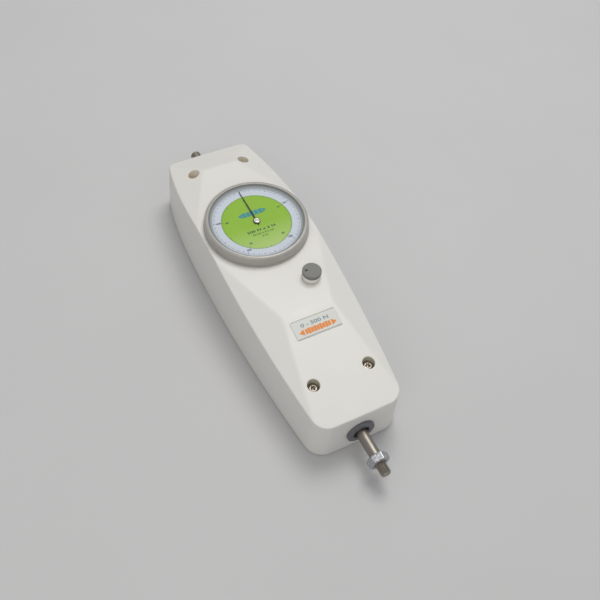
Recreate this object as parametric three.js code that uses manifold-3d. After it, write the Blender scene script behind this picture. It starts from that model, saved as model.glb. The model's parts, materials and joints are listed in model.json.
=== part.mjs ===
// Analogue push-pull force gauge, lying on its back: a long case with a round dial, a measuring
// rod that runs through both ends, and a rack-and-gear movement inside that turns the pointer.
// Millimetres. +Z points up out of the dial, +Y to the top of the dial, and the rod's working
// end points along -Y. The origin lies on the flat back, straight under the dial's axis.

import * as THREE from 'three';
import { mergeVertices } from 'three/addons/utils/BufferGeometryUtils.js';
import Module from 'manifold-3d';

const wasm = await Module();
wasm.setup();

// ---------------------------------------------------------------- driving dimensions

// Case
const FRONT_Y = -128.95;
const REAR_Y = 75.3;
const WIDEST_Y = -8;
const HALF_WIDTH = 33.65;
const HALF_WIDTH_FRONT = 25.75;
const HALF_WIDTH_REAR = 26.2;
const FRONT_CORNER = 9;
const REAR_CORNER = 5;
const END_BOW = 0.5;
const DRAFT = 0.04;
const PLATEAU_Z = 40;
const SKIRT_Z = 0.6;
const WALL = 2.6;

// The flat top breaks down towards the ends: a long front facet, a short rear facet, and a
// slanting facet between each of them and the side.
const FRONT_HIP = { x: 15, y: -64.2 };
const FRONT_SLOPE = 0.18;
const FRONT_CREASE_END_X = 26.45;
const FRONT_SIDE_BREAK_Y = -6.95;
const REAR_HIP = { x: 11, y: 53.3 };
const REAR_SLOPE = 0.41;
const REAR_CREASE_END_X = 29;
const REAR_SIDE_BREAK_Y = 8.4;

// Case screws
const FRONT_SCREW = { x: 16.36, y: -103.7 };
const REAR_SCREW = { x: 16.38, y: 54.1 };
const SCREW_HEAD_TOP = 29.6;
const SCREW_HEAD_RADIUS = 3;
const SCREW_HEAD_HEIGHT = 1.9;
const SCREW_RADIUS = 1.5;
const SCREW_END_Z = 8;
const COUNTERBORE_RADIUS = 3.4;
const POST_RADIUS = 4.6;
const BOSS_RADIUS = 4;
const POST_PARTING_Z = 20;

// Radial gaps: a pressed or screwed piece in its hole, and a piece that runs in a bearing.
const FIT = 0.1;
const RUNNING_GAP = 0.1;

// Back cover
const BACK_COVER_TOP = 2.8;
const BACK_COVER_GAP = 0.35;
const INSERT_SPACING = { x: 26, y: 80 };
const INSERT_CENTRE_Y = -30;
const INSERT_RADIUS = 3;
const INSERT_BORE = 2;
const INSERT_TOP = 3.7;

// Measuring rod and what it carries
const ROD_Z = 13.5;
const ROD_RADIUS = 3.15;
const ROD_TIP_Y = -156;
const ROD_REAR_Y = 93.3;
const NUT_FRONT_Y = -149.6;
const NUT_LENGTH = 4.6;
const NUT_ACROSS_FLATS = 10.5;
const NUT_TURN_DEG = 15;
const FLANGE_RADIUS = 8.1;
const FLANGE_LENGTH = 2.15;
const FLANGE_SEAT_FRONT = FRONT_Y + 1;
const FLANGE_SEAT_REAR = REAR_Y - 1;
const RECESS_RADIUS = 4.5;
const RECESS_DEPTH = 2.2;
const BUSH_RADIUS = 5.2;
const BUSH_DEPTH = 9;
const COLLAR_HALF_WIDTH = 5.5;
const COLLAR_LENGTH = 6;
const COLLAR_BOTTOM = 8.5;
const COLLAR_TOP = 19;
const FRONT_COLLAR_Y = -40;
const REAR_COLLAR_Y = -10;
const RACK_TOP = 22;

// Movement frame
const CHASSIS_TOP = 5.5;
const CHASSIS_THICKNESS = 1.5;
const CHASSIS = { halfX: 23, frontY: -96, rearY: 42 };
const FRAME_WALL_THICKNESS = 3;
const FRAME_WALL_TOP = 27;
const FRAME_WALL_WIDTH = 34;
const FRAME_WALL_FRONT_Y = -94;
const FRAME_WALL_REAR_Y = 36;
const LOWER_PLATE = { bottom: 23.2, top: 24.4 };
const UPPER_PLATE = { bottom: 29.2, top: 30.4 };
const PLATE = { halfX: 25, frontY: -52, rearY: 20 };
const PILLARS = [[-21, -48], [21, -48], [-21, 16], [21, 16]];
const PILLAR_RADIUS = 3;
const STUB_RADIUS = 1.2;

// Gears: rack to pinion, and the pinion's shaft to the pointer's arbor
const GEAR_MODULE = 0.8;
const RACK_PINION_TEETH = 17;
const DRIVE_WHEEL_TEETH = 47;
const CENTRE_PINION_TEETH = 11;
const TOOTH_TIP = 0.8;
const TOOTH_ROOT = 1.05;
const TOOTH_THICKNESS = 0.40;
const SPINDLE_RADIUS = 1.5;
const SPINDLE_X = -8;
const RACK_PITCH_RADIUS = (GEAR_MODULE * RACK_PINION_TEETH) / 2;
const CENTRE_DISTANCE = (GEAR_MODULE * (DRIVE_WHEEL_TEETH + CENTRE_PINION_TEETH)) / 2;
const SPINDLE_Y = -Math.sqrt(CENTRE_DISTANCE ** 2 - SPINDLE_X ** 2);
const RACK_PITCH_X = SPINDLE_X + RACK_PITCH_RADIUS;

// Dial group, heights above the back
const BEZEL_BOTTOM = 40.5;
const BEZEL_TOP = 46.4;
const BEZEL_BASE_RADIUS = 30.3;
const BEZEL_RIM_RADIUS = 28.55;
const DIAL_RADIUS = 26.9;
const DIAL_BOTTOM = 43.6;
const DIAL_TOP = 44;
const LENS_RADIUS = 27.3;
const LENS_BOTTOM = 45.4;
const LENS_TOP = 46.1;
const BEZEL_SEAT = { inner: 21, outer: 24, top: 41.9 };
const RETAINER = { inner: 20.2, outer: 25.6, top: 42.6 };
const RETAINER_SCREW_RADIUS = 0.75;
const ARBOR_RADIUS = 1;
const ARBOR_FOOT_RADIUS = 0.7;
const POINTER_LENGTH = 24.9;
const POINTER_TAIL = 2.8;
const POINTER_BOTTOM = 44.4;
const POINTER_TOP = 44.65;

// Type label, on the front facet
const LABEL = { x: 0.4, y: -73.7, width: 26.8, length: 11, thickness: 0.3 };

// Peak-hold button
const BUTTON = { x: 12, y: -45.3 };
const CAP_RADIUS = 5.4;
const CAP_BOTTOM = 42.95;
const CAP_TOP = 45.6;
const SLEEVE_RADIUS = 5;
const SLEEVE_BOTTOM = 38.9;
const STEM_RADIUS = 1.5;
const STEM_END_Z = 34.3;
const GUIDE_BOTTOM = 35.4;
const LEVER = { bottom: 33.1, top: 34.1, pivotY: -26 };
const LEVER_PIN_RADIUS = 0.75;

// ---------------------------------------------------------------- finishes

const finish = (color, roughness, metalness) => new THREE.MeshStandardMaterial({ color, roughness, metalness });
const ivoryPlastic = finish(0xe9e7df, 0.45, 0);
const darkPlastic = finish(0x4a4d55, 0.5, 0);
const greyPlastic = finish(0x86877f, 0.6, 0);
const bezelGrey = finish(0xa9a69c, 0.4, 0.3);
const dialGreen = finish(0x8cbf4a, 0.6, 0);
const clearLens = finish(0xe8f0f2, 0.08, 0);
const pointerBlack = finish(0x181818, 0.5, 0);
const nickelSteel = finish(0x9a9288, 0.3, 1);
const brightChrome = finish(0xd8dade, 0.15, 1);
const springSteel = finish(0x8d8f92, 0.35, 1);
const brass = finish(0xb59a4c, 0.35, 1);
const sheetSteel = finish(0xa5a8aa, 0.45, 1);
const labelFilm = finish(0xdcdfe0, 0.4, 0.2);

// ---------------------------------------------------------------- solids

// A manifold solid from a three.js geometry, turned the right way out.
function solidOf(geometry) {
  const bare = geometry.clone();
  bare.deleteAttribute('normal');
  bare.deleteAttribute('uv');
  const merged = mergeVertices(bare, 1e-5);
  const index = merged.index.array;
  const triangles = [];
  for (let i = 0; i < index.length; i += 3) {
    const [a, b, c] = [index[i], index[i + 1], index[i + 2]];
    if (a !== b && b !== c && c !== a) triangles.push(a, b, c);
  }
  const vertProperties = new Float32Array(merged.attributes.position.array);
  if (signedVolume(vertProperties, triangles) < 0) triangles.reverse();
  const mesh = new wasm.Mesh({ numProp: 3, vertProperties, triVerts: new Uint32Array(triangles) });
  return new wasm.Manifold(mesh);
}

function signedVolume(positions, triangles) {
  const a = new THREE.Vector3();
  const b = new THREE.Vector3();
  const c = new THREE.Vector3();
  let six = 0;
  for (let i = 0; i < triangles.length; i += 3) {
    a.fromArray(positions, 3 * triangles[i]);
    b.fromArray(positions, 3 * triangles[i + 1]);
    c.fromArray(positions, 3 * triangles[i + 2]);
    six += a.dot(b.cross(c));
  }
  return six / 6;
}

function geometryOf(solid) {
  const mesh = solid.getMesh();
  const geometry = new THREE.BufferGeometry();
  geometry.setAttribute('position', new THREE.BufferAttribute(new Float32Array(mesh.vertProperties), 3));
  geometry.setIndex(new THREE.BufferAttribute(new Uint32Array(mesh.triVerts), 1));
  geometry.computeVertexNormals();
  return geometry;
}

// A flat outline, a list of Vector2 in X and Y, raised from z0 to z1, with round or other holes.
function plateGeometry(outline, z0, z1, holes = []) {
  const shape = new THREE.Shape(outline);
  for (const hole of holes) shape.holes.push(new THREE.Path(hole));
  const geometry = new THREE.ExtrudeGeometry(shape, { depth: z1 - z0, bevelEnabled: false });
  return geometry.translate(0, 0, z0);
}

const plate = (outline, z0, z1, holes) => solidOf(plateGeometry(outline, z0, z1, holes));

function circle(x, y, radius, sides = 24) {
  const points = [];
  for (let i = 0; i < sides; i += 1) {
    const angle = (2 * Math.PI * i) / sides;
    points.push(new THREE.Vector2(x + radius * Math.cos(angle), y + radius * Math.sin(angle)));
  }
  return points;
}

function rectangle(x0, y0, x1, y1) {
  return [[x0, y0], [x1, y0], [x1, y1], [x0, y1]].map(([x, y]) => new THREE.Vector2(x, y));
}

const disc = (x, y, radius, z0, z1, sides) => plate(circle(x, y, radius, sides), z0, z1);

// A turned piece about Y from [radius, y] pairs. A profile that is off the axis closes on itself.
function turnedY(profile, sides = 24) {
  const points = profile.map(([r, y]) => new THREE.Vector2(r, y));
  const onAxis = profile[0][0] === 0;
  if (!onAxis) points.push(points[0].clone());
  return solidOf(new THREE.LatheGeometry(points, sides));
}

// The same about Z, from [radius, z] pairs.
function turnedZ(profile, sides = 24) {
  const solid = turnedY(profile, sides);
  return solidOf(geometryOf(solid).rotateX(Math.PI / 2));
}

// The half space under a plane through three points, as a block large enough to cut the case.
function underPlane(a, b, c, drop = 0) {
  const normal = b.clone().sub(a).cross(c.clone().sub(a)).normalize();
  if (normal.z < 0) normal.negate();
  const block = new THREE.BoxGeometry(500, 500, 200).translate(0, 0, -100 - drop);
  const turn = new THREE.Quaternion().setFromUnitVectors(new THREE.Vector3(0, 0, 1), normal);
  block.applyQuaternion(turn).translate(a.x, a.y, a.z);
  return solidOf(block);
}

// ---------------------------------------------------------------- case

function halfWidthAt(y) {
  if (y < WIDEST_Y) {
    const t = (WIDEST_Y - y) / (WIDEST_Y - FRONT_Y);
    return HALF_WIDTH - (HALF_WIDTH - HALF_WIDTH_FRONT) * t ** 2;
  }
  const t = (y - WIDEST_Y) / (REAR_Y - WIDEST_Y);
  return HALF_WIDTH - (HALF_WIDTH - HALF_WIDTH_REAR) * t ** 3;
}

// The right half of the plan outline from the front end to the rear end, inset by a distance.
function rightHalf(inset) {
  const sideSteps = 12;
  const cornerSteps = 4;
  const half = [];
  const corner = (endY, radius, sign, t) => {
    const angle = (t * Math.PI) / 2;
    const y = endY + sign * radius * (1 - Math.sin(angle));
    const x = halfWidthAt(y) - inset - radius * (1 - Math.cos(angle));
    const bow = END_BOW * (x / HALF_WIDTH) ** 2;
    half.push(new THREE.Vector2(x, y + sign * bow));
  };
  const frontY = FRONT_Y + inset;
  const rearY = REAR_Y - inset;
  const frontRadius = Math.max(FRONT_CORNER - inset, 2);
  const rearRadius = Math.max(REAR_CORNER - inset, 2);
  for (let i = cornerSteps; i > 0; i -= 1) corner(frontY, frontRadius, 1, i / cornerSteps);
  for (let i = 0; i <= sideSteps; i += 1) {
    const t = i / sideSteps;
    const y = THREE.MathUtils.lerp(frontY + frontRadius, rearY - rearRadius, t);
    half.push(new THREE.Vector2(halfWidthAt(y) - inset, y));
  }
  for (let i = 1; i <= cornerSteps; i += 1) corner(rearY, rearRadius, -1, i / cornerSteps);
  return half;
}

function planOutline(inset) {
  const right = rightHalf(inset);
  const left = right.map((p) => new THREE.Vector2(-p.x, p.y)).reverse();
  const frontMiddle = new THREE.Vector2(0, FRONT_Y + inset);
  const rearMiddle = new THREE.Vector2(0, REAR_Y - inset);
  return [frontMiddle, ...right, rearMiddle, ...left];
}

// The plan outline raised from z0 to z1, narrowing upwards by the moulding draft.
function draftedCase(inset, z0, z1) {
  const lower = planOutline(inset + DRAFT * z0);
  const upper = planOutline(inset + DRAFT * z1);
  const count = lower.length;
  const positions = [];
  for (const p of lower) positions.push(p.x, p.y, z0);
  for (const p of upper) positions.push(p.x, p.y, z1);
  const index = [];
  for (let i = 0; i < count; i += 1) {
    const next = (i + 1) % count;
    index.push(i, next, count + next, i, count + next, count + i);
  }
  for (const [a, b, c] of THREE.ShapeUtils.triangulateShape(lower, [])) index.push(c, b, a);
  for (const [a, b, c] of THREE.ShapeUtils.triangulateShape(upper, [])) {
    index.push(count + a, count + b, count + c);
  }
  const geometry = new THREE.BufferGeometry();
  geometry.setAttribute('position', new THREE.Float32BufferAttribute(positions, 3));
  geometry.setIndex(index);
  return solidOf(geometry);
}

// The six planes that break the top down, each as three points.
function topPlanes() {
  const at = (x, y, dz) => new THREE.Vector3(x, y, PLATEAU_Z + dz);
  const frontDrop = -FRONT_SLOPE * (FRONT_HIP.y - FRONT_Y);
  const rearDrop = -REAR_SLOPE * (REAR_Y - REAR_HIP.y);
  const planes = [
    [at(-1, FRONT_HIP.y, 0), at(1, FRONT_HIP.y, 0), at(0, FRONT_Y, frontDrop)],
    [at(-1, REAR_HIP.y, 0), at(1, REAR_HIP.y, 0), at(0, REAR_Y, rearDrop)],
  ];
  for (const side of [-1, 1]) {
    planes.push([
      at(side * halfWidthAt(FRONT_SIDE_BREAK_Y), FRONT_SIDE_BREAK_Y, 0),
      at(side * FRONT_HIP.x, FRONT_HIP.y, 0),
      at(side * FRONT_CREASE_END_X, FRONT_Y, frontDrop),
    ]);
    planes.push([
      at(side * halfWidthAt(REAR_SIDE_BREAK_Y), REAR_SIDE_BREAK_Y, 0),
      at(side * REAR_HIP.x, REAR_HIP.y, 0),
      at(side * REAR_CREASE_END_X, REAR_Y, rearDrop),
    ]);
  }
  return planes;
}

function facetedBlock(inset, z0, z1, drop) {
  let block = draftedCase(inset, z0, z1);
  for (const [a, b, c] of topPlanes()) block = block.intersect(underPlane(a, b, c, drop));
  return block;
}

function screwPlaces() {
  const places = [];
  for (const { x, y } of [FRONT_SCREW, REAR_SCREW]) {
    places.push({ x: -x, y });
    places.push({ x, y });
  }
  return places;
}

// A cylinder along Y at the rod's height.
function rodCylinder(radius, y0, y1, sides = 24) {
  const geometry = new THREE.CylinderGeometry(radius, radius, y1 - y0, sides);
  return solidOf(geometry.translate(0, (y0 + y1) / 2, ROD_Z));
}

function frontHousing() {
  const outer = facetedBlock(0, SKIRT_Z, PLATEAU_Z, 0);
  const cavity = facetedBlock(WALL, -5, PLATEAU_Z - WALL, WALL);
  let shell = outer.subtract(cavity);
  for (const { x, y } of screwPlaces()) {
    const post = disc(x, y, POST_RADIUS, POST_PARTING_Z, PLATEAU_Z, 12).intersect(outer);
    shell = shell.add(post);
    shell = shell.subtract(disc(x, y, COUNTERBORE_RADIUS, SCREW_HEAD_TOP - SCREW_HEAD_HEIGHT, 60, 16));
    shell = shell.subtract(disc(x, y, SCREW_RADIUS + 0.25, 0, 60, 12));
  }
  const seat = turnedZ([
    [BEZEL_SEAT.inner, PLATEAU_Z - 1],
    [BEZEL_SEAT.outer, PLATEAU_Z - 1],
    [BEZEL_SEAT.outer, BEZEL_SEAT.top],
    [BEZEL_SEAT.inner, BEZEL_SEAT.top],
  ], 32);
  shell = shell.add(seat);
  for (let i = 0; i < 3; i += 1) {
    const { x, y } = retainerScrewPlace(i);
    shell = shell.subtract(disc(x, y, RETAINER_SCREW_RADIUS + FIT, RETAINER.top - 3, 60, 8));
  }
  shell = shell.subtract(disc(0, 0, 4, 30, 60, 24));
  shell = shell.subtract(disc(BUTTON.x, BUTTON.y, SLEEVE_RADIUS + 0.25, 30, 60, 24));
  shell = shell.subtract(rodCylinder(FLANGE_RADIUS + 0.2, FRONT_Y - 5, FLANGE_SEAT_FRONT));
  shell = shell.subtract(rodCylinder(FLANGE_RADIUS + 0.2, FLANGE_SEAT_REAR, REAR_Y + 5));
  return shell.subtract(rodCylinder(BUSH_RADIUS + FIT + 0.1, FRONT_Y - 5, REAR_Y + 5));
}

function backCover() {
  const edge = WALL + BACK_COVER_GAP;
  let cover = draftedCase(edge, 0, BACK_COVER_TOP);
  for (const { x, y } of screwPlaces()) {
    cover = cover.add(disc(x, y, BOSS_RADIUS, 1, POST_PARTING_Z, 12));
    cover = cover.subtract(disc(x, y, SCREW_RADIUS + FIT, SCREW_END_Z - 1, 60, 12));
  }
  for (const x of [-18, 18]) {
    for (const y of [-88, 34]) cover = cover.add(disc(x, y, 3, 1, CHASSIS_TOP - CHASSIS_THICKNESS, 12));
  }
  for (const { x, y } of insertPlaces()) {
    cover = cover.add(disc(x, y, INSERT_RADIUS + 1.6, 1, INSERT_TOP, 16));
    cover = cover.subtract(disc(x, y, INSERT_RADIUS + FIT, -1, CHASSIS_TOP, 16));
  }
  return cover;
}

function insertPlaces() {
  const places = [];
  for (const sx of [-0.5, 0.5]) {
    for (const sy of [-0.5, 0.5]) {
      places.push({ x: sx * INSERT_SPACING.x, y: INSERT_CENTRE_Y + sy * INSERT_SPACING.y });
    }
  }
  return places;
}

function mountingInsert() {
  const hole = circle(0, 0, INSERT_BORE, 12);
  return plate(circle(0, 0, INSERT_RADIUS, 16), 0.2, INSERT_TOP, [hole]);
}

function coverScrew() {
  const top = SCREW_HEAD_TOP;
  const shoulder = SCREW_HEAD_TOP - SCREW_HEAD_HEIGHT;
  const body = turnedZ([
    [0, SCREW_END_Z],
    [SCREW_RADIUS - 0.4, SCREW_END_Z],
    [SCREW_RADIUS, SCREW_END_Z + 1],
    [SCREW_RADIUS, shoulder],
    [SCREW_HEAD_RADIUS, shoulder],
    [SCREW_HEAD_RADIUS, top - 0.7],
    [SCREW_HEAD_RADIUS * 0.7, top - 0.1],
    [0, top],
  ], 12);
  const slotA = plate(rectangle(-1.5, -0.35, 1.5, 0.35), top - 1.2, top + 1);
  const slotB = plate(rectangle(-0.35, -1.5, 0.35, 1.5), top - 1.2, top + 1);
  return body.subtract(slotA.add(slotB));
}

// ---------------------------------------------------------------- rod

// A guide bush in the case's end wall: a round flange outside, recessed round the rod, and a
// sleeve through the wall.
function rodBush(seatY, outward) {
  const bore = ROD_RADIUS + RUNNING_GAP;
  const recess = FLANGE_LENGTH - RECESS_DEPTH;
  const profile = [
    [bore, -BUSH_DEPTH],
    [BUSH_RADIUS, -BUSH_DEPTH],
    [BUSH_RADIUS, 0],
    [FLANGE_RADIUS, 0],
    [FLANGE_RADIUS, FLANGE_LENGTH - 0.9],
    [FLANGE_RADIUS - 0.9, FLANGE_LENGTH],
    [RECESS_RADIUS, FLANGE_LENGTH],
    [RECESS_RADIUS, recess],
    [bore, recess],
  ].map(([r, y]) => [r, seatY + outward * y]);
  return geometryOf(turnedY(profile)).translate(0, 0, ROD_Z);
}

function measuringRod() {
  const thread = ROD_RADIUS - 0.15;
  return turnedY([
    [0, ROD_TIP_Y],
    [thread - 0.8, ROD_TIP_Y],
    [thread, ROD_TIP_Y + 0.8],
    [thread, ROD_TIP_Y + 12],
    [ROD_RADIUS, ROD_TIP_Y + 12.4],
    [ROD_RADIUS, ROD_REAR_Y - 0.6],
    [ROD_RADIUS - 0.6, ROD_REAR_Y],
    [0, ROD_REAR_Y],
  ]);
}

function lockNut() {
  const corner = NUT_ACROSS_FLATS / 2 / Math.cos(Math.PI / 6);
  const hexagon = new THREE.CylinderGeometry(corner, corner, NUT_LENGTH, 6);
  hexagon.rotateY(THREE.MathUtils.degToRad(NUT_TURN_DEG));
  const chamfer = turnedY([
    [0, -NUT_LENGTH / 2],
    [corner - 0.8, -NUT_LENGTH / 2],
    [corner, -NUT_LENGTH / 2 + 0.45],
    [corner, NUT_LENGTH / 2 - 0.45],
    [corner - 0.8, NUT_LENGTH / 2],
    [0, NUT_LENGTH / 2],
  ], 18);
  const bore = new THREE.CylinderGeometry(ROD_RADIUS + 0.05, ROD_RADIUS + 0.05, NUT_LENGTH * 2, 24);
  return solidOf(hexagon).intersect(chamfer).subtract(solidOf(bore));
}

// A block clamped on the rod. It carries the rack and takes the thrust of one spring.
function rodCollar(y0) {
  const block = new THREE.BoxGeometry(2 * COLLAR_HALF_WIDTH, COLLAR_LENGTH, COLLAR_TOP - COLLAR_BOTTOM);
  block.translate(0, y0 + COLLAR_LENGTH / 2, (COLLAR_TOP + COLLAR_BOTTOM) / 2);
  return solidOf(block).subtract(rodCylinder(ROD_RADIUS + FIT, y0 - 1, y0 + COLLAR_LENGTH + 1));
}

// ---------------------------------------------------------------- gears

// Tooth half thickness at the pitch line, and its change towards tip and root on a 20 degree flank.
const halfTooth = (TOOTH_THICKNESS * Math.PI * GEAR_MODULE) / 2;
const flank = Math.tan(THREE.MathUtils.degToRad(20));

// A spur gear's outline about the origin, with one tooth's middle at a given angle.
function gearOutline(teeth, firstToothAngle) {
  const pitch = (GEAR_MODULE * teeth) / 2;
  const tip = pitch + TOOTH_TIP * GEAR_MODULE;
  const root = pitch - TOOTH_ROOT * GEAR_MODULE;
  const tipHalf = (halfTooth - TOOTH_TIP * GEAR_MODULE * flank) / tip;
  const rootHalf = (halfTooth + 0.25 * GEAR_MODULE * flank) / root;
  const corners = [[root, -rootHalf], [tip, -tipHalf], [tip, tipHalf], [root, rootHalf]];
  const outline = [];
  for (let i = 0; i < teeth; i += 1) {
    const middle = firstToothAngle + (2 * Math.PI * i) / teeth;
    for (const [r, offset] of corners) {
      const angle = middle + offset;
      outline.push(new THREE.Vector2(r * Math.cos(angle), r * Math.sin(angle)));
    }
  }
  return outline;
}

// The rack lies over the rod on the two collars, and its teeth face the spindle, towards -X.
function rackOutline() {
  const pitch = Math.PI * GEAR_MODULE;
  const y0 = FRONT_COLLAR_Y;
  const y1 = REAR_COLLAR_Y + COLLAR_LENGTH;
  const tipX = RACK_PITCH_X - TOOTH_TIP * GEAR_MODULE;
  const rootX = RACK_PITCH_X + TOOTH_ROOT * GEAR_MODULE;
  const tipHalf = halfTooth - TOOTH_TIP * GEAR_MODULE * flank;
  const rootHalf = halfTooth + TOOTH_ROOT * GEAR_MODULE * flank;
  const outline = [[5, y0], [5, y1], [rootX, y1]];
  const reach = 6.5;
  for (let i = reach; i >= -reach; i -= 1) {
    const middle = SPINDLE_Y + i * pitch;
    outline.push([rootX, middle + rootHalf], [tipX, middle + tipHalf]);
    outline.push([tipX, middle - tipHalf], [rootX, middle - rootHalf]);
  }
  outline.push([rootX, y0]);
  return outline.map(([x, y]) => new THREE.Vector2(x, y));
}

const towardsArbor = Math.atan2(-SPINDLE_Y, -SPINDLE_X);
const halfPinionStep = Math.PI / CENTRE_PINION_TEETH;

function ratchetOutline() {
  const teeth = 24;
  const outline = [];
  for (let i = 0; i < teeth; i += 1) {
    const angle = (2 * Math.PI * i) / teeth;
    const next = (2 * Math.PI * (i + 0.85)) / teeth;
    outline.push(new THREE.Vector2(5 * Math.cos(angle), 5 * Math.sin(angle)));
    outline.push(new THREE.Vector2(4.4 * Math.cos(next), 4.4 * Math.sin(next)));
  }
  return outline;
}

// ---------------------------------------------------------------- springs

class Helix extends THREE.Curve {
  constructor(radius, length, turns) {
    super();
    this.radius = radius;
    this.length = length;
    this.turns = turns;
  }

  getPoint(t, target = new THREE.Vector3()) {
    const angle = 2 * Math.PI * this.turns * t;
    return target.set(this.radius * Math.cos(angle), this.radius * Math.sin(angle), this.length * t);
  }
}

// A coil spring standing on the XY plane, with its wire centres from z = 0 to z = length.
function coilSpring(radius, wireRadius, length, turns) {
  const section = new THREE.Shape(circle(0, 0, wireRadius, 5));
  const settings = {
    steps: turns * 10,
    extrudePath: new Helix(radius, length, turns),
    bevelEnabled: false,
  };
  return geometryOf(solidOf(new THREE.ExtrudeGeometry(section, settings)));
}

// ---------------------------------------------------------------- dial group

function bezelRing() {
  return turnedZ([
    [24.4, BEZEL_BOTTOM],
    [BEZEL_BASE_RADIUS, BEZEL_BOTTOM],
    [BEZEL_BASE_RADIUS, BEZEL_BOTTOM + 0.6],
    [BEZEL_RIM_RADIUS + 0.35, BEZEL_TOP - 0.5],
    [BEZEL_RIM_RADIUS, BEZEL_TOP],
    [BEZEL_RIM_RADIUS - 0.9, BEZEL_TOP],
    [LENS_RADIUS + 0.2, BEZEL_TOP - 0.2],
    [LENS_RADIUS + 0.2, LENS_BOTTOM - 0.05],
    [LENS_RADIUS - 0.4, LENS_BOTTOM - 0.05],
    [25.4, DIAL_TOP + 0.15],
    [DIAL_RADIUS + 0.15, DIAL_TOP + 0.1],
    [DIAL_RADIUS + 0.15, BEZEL_BOTTOM + 1],
    [24.4, BEZEL_BOTTOM + 1],
  ], 48);
}

function dialPlate() {
  return plate(circle(0, 0, DIAL_RADIUS, 48), DIAL_BOTTOM, DIAL_TOP, [circle(0, 0, ARBOR_RADIUS + 0.8, 16)]);
}

function bezelRetainer() {
  const holes = [circle(0, 0, RETAINER.inner, 32)];
  for (let i = 0; i < 3; i += 1) {
    const place = retainerScrewPlace(i);
    holes.push(circle(place.x, place.y, RETAINER_SCREW_RADIUS + FIT, 8));
  }
  return plate(circle(0, 0, RETAINER.outer, 32), BEZEL_SEAT.top, RETAINER.top, holes);
}

function retainerScrewPlace(i) {
  const angle = Math.PI / 2 + (2 * Math.PI * i) / 3;
  return { x: 22.4 * Math.cos(angle), y: 22.4 * Math.sin(angle) };
}

function retainerScrew() {
  return turnedZ([
    [0, RETAINER.top - 2.4],
    [RETAINER_SCREW_RADIUS, RETAINER.top - 2.4],
    [RETAINER_SCREW_RADIUS, RETAINER.top],
    [1.5, RETAINER.top],
    [1.5, RETAINER.top + 0.35],
    [1.1, RETAINER.top + 0.7],
    [0, RETAINER.top + 0.7],
  ], 8);
}

function pointerBlade() {
  const right = [[0.6, -POINTER_TAIL], [0.75, 0], [0.14, POINTER_LENGTH]];
  const left = right.map(([x, y]) => [-x, y]).reverse();
  const points = [...right, ...left].map(([x, y]) => new THREE.Vector2(x, y));
  const blade = plate(points, POINTER_BOTTOM, POINTER_TOP).add(disc(0, 0, 2.1, POINTER_BOTTOM, POINTER_TOP, 20));
  return blade.subtract(disc(0, 0, ARBOR_RADIUS + FIT, DIAL_TOP, LENS_BOTTOM, 16));
}

function pointerHub() {
  return turnedZ([
    [0, POINTER_TOP + 0.3],
    [ARBOR_RADIUS + FIT, POINTER_TOP + 0.3],
    [ARBOR_RADIUS + FIT, POINTER_TOP],
    [1.85, POINTER_TOP],
    [1.85, POINTER_TOP + 0.35],
    [1.5, POINTER_TOP + 0.55],
    [0, POINTER_TOP + 0.55],
  ], 20);
}

function centreArbor() {
  return turnedZ([
    [0, 23],
    [ARBOR_FOOT_RADIUS, 23],
    [ARBOR_FOOT_RADIUS, 24.7],
    [ARBOR_RADIUS, 24.7],
    [ARBOR_RADIUS, POINTER_TOP + 0.25],
    [0, POINTER_TOP + 0.25],
  ], 16);
}

// ---------------------------------------------------------------- movement frame

function chassisPlate() {
  const { halfX, frontY, rearY } = CHASSIS;
  const holes = insertPlaces().map(({ x, y }) => circle(x, y, 3.4, 12));
  holes.push(circle(SPINDLE_X, SPINDLE_Y, SPINDLE_RADIUS + RUNNING_GAP, 16));
  return plate(rectangle(-halfX, frontY, halfX, rearY), CHASSIS_TOP - CHASSIS_THICKNESS, CHASSIS_TOP, holes);
}

function frameWall(y0) {
  const wall = new THREE.BoxGeometry(FRAME_WALL_WIDTH, FRAME_WALL_THICKNESS, FRAME_WALL_TOP - CHASSIS_TOP);
  wall.translate(0, y0 + FRAME_WALL_THICKNESS / 2, (FRAME_WALL_TOP + CHASSIS_TOP) / 2);
  return solidOf(wall).subtract(rodCylinder(ROD_RADIUS + 0.5, y0 - 1, y0 + FRAME_WALL_THICKNESS + 1));
}

function movementPlate({ bottom, top }, extraHoles) {
  const { halfX, frontY, rearY } = PLATE;
  const holes = PILLARS.map(([x, y]) => circle(x, y, STUB_RADIUS + FIT + 0.1, 10));
  return plate(rectangle(-halfX, frontY, halfX, rearY), bottom, top, [...holes, ...extraHoles]);
}

// A hexagonal pillar with a thin stub that passes into the plate above it, and one below if asked.
function pillar(z0, z1, stubBelow) {
  const stub = disc(0, 0, STUB_RADIUS, z0 - stubBelow, z1 + 0.5, 10);
  return disc(0, 0, PILLAR_RADIUS, z0, z1, 6).add(stub);
}

function gearSpindle() {
  return disc(SPINDLE_X, SPINDLE_Y, SPINDLE_RADIUS, CHASSIS_TOP - 1.2, UPPER_PLATE.top, 16);
}

function onSpindle(outline, z0, z1) {
  const wheel = plate(outline, z0, z1).subtract(disc(0, 0, SPINDLE_RADIUS + FIT, z0 - 1, z1 + 1, 16));
  return geometryOf(wheel).translate(SPINDLE_X, SPINDLE_Y, 0);
}

// ---------------------------------------------------------------- peak-hold button

function buttonCap() {
  return turnedZ([
    [0, CAP_BOTTOM],
    [CAP_RADIUS, CAP_BOTTOM],
    [CAP_RADIUS, CAP_TOP - 0.4],
    [CAP_RADIUS - 0.4, CAP_TOP],
    [0, CAP_TOP],
  ], 24).subtract(disc(-2.9, 1.2, 0.55, CAP_TOP - 0.5, CAP_TOP + 1, 10));
}

function buttonSleeve() {
  return plate(circle(0, 0, SLEEVE_RADIUS, 24), SLEEVE_BOTTOM, CAP_BOTTOM, [circle(0, 0, 3.4, 20)]);
}

function buttonStem() {
  return disc(0, 0, STEM_RADIUS, STEM_END_Z, CAP_BOTTOM, 16);
}

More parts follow.
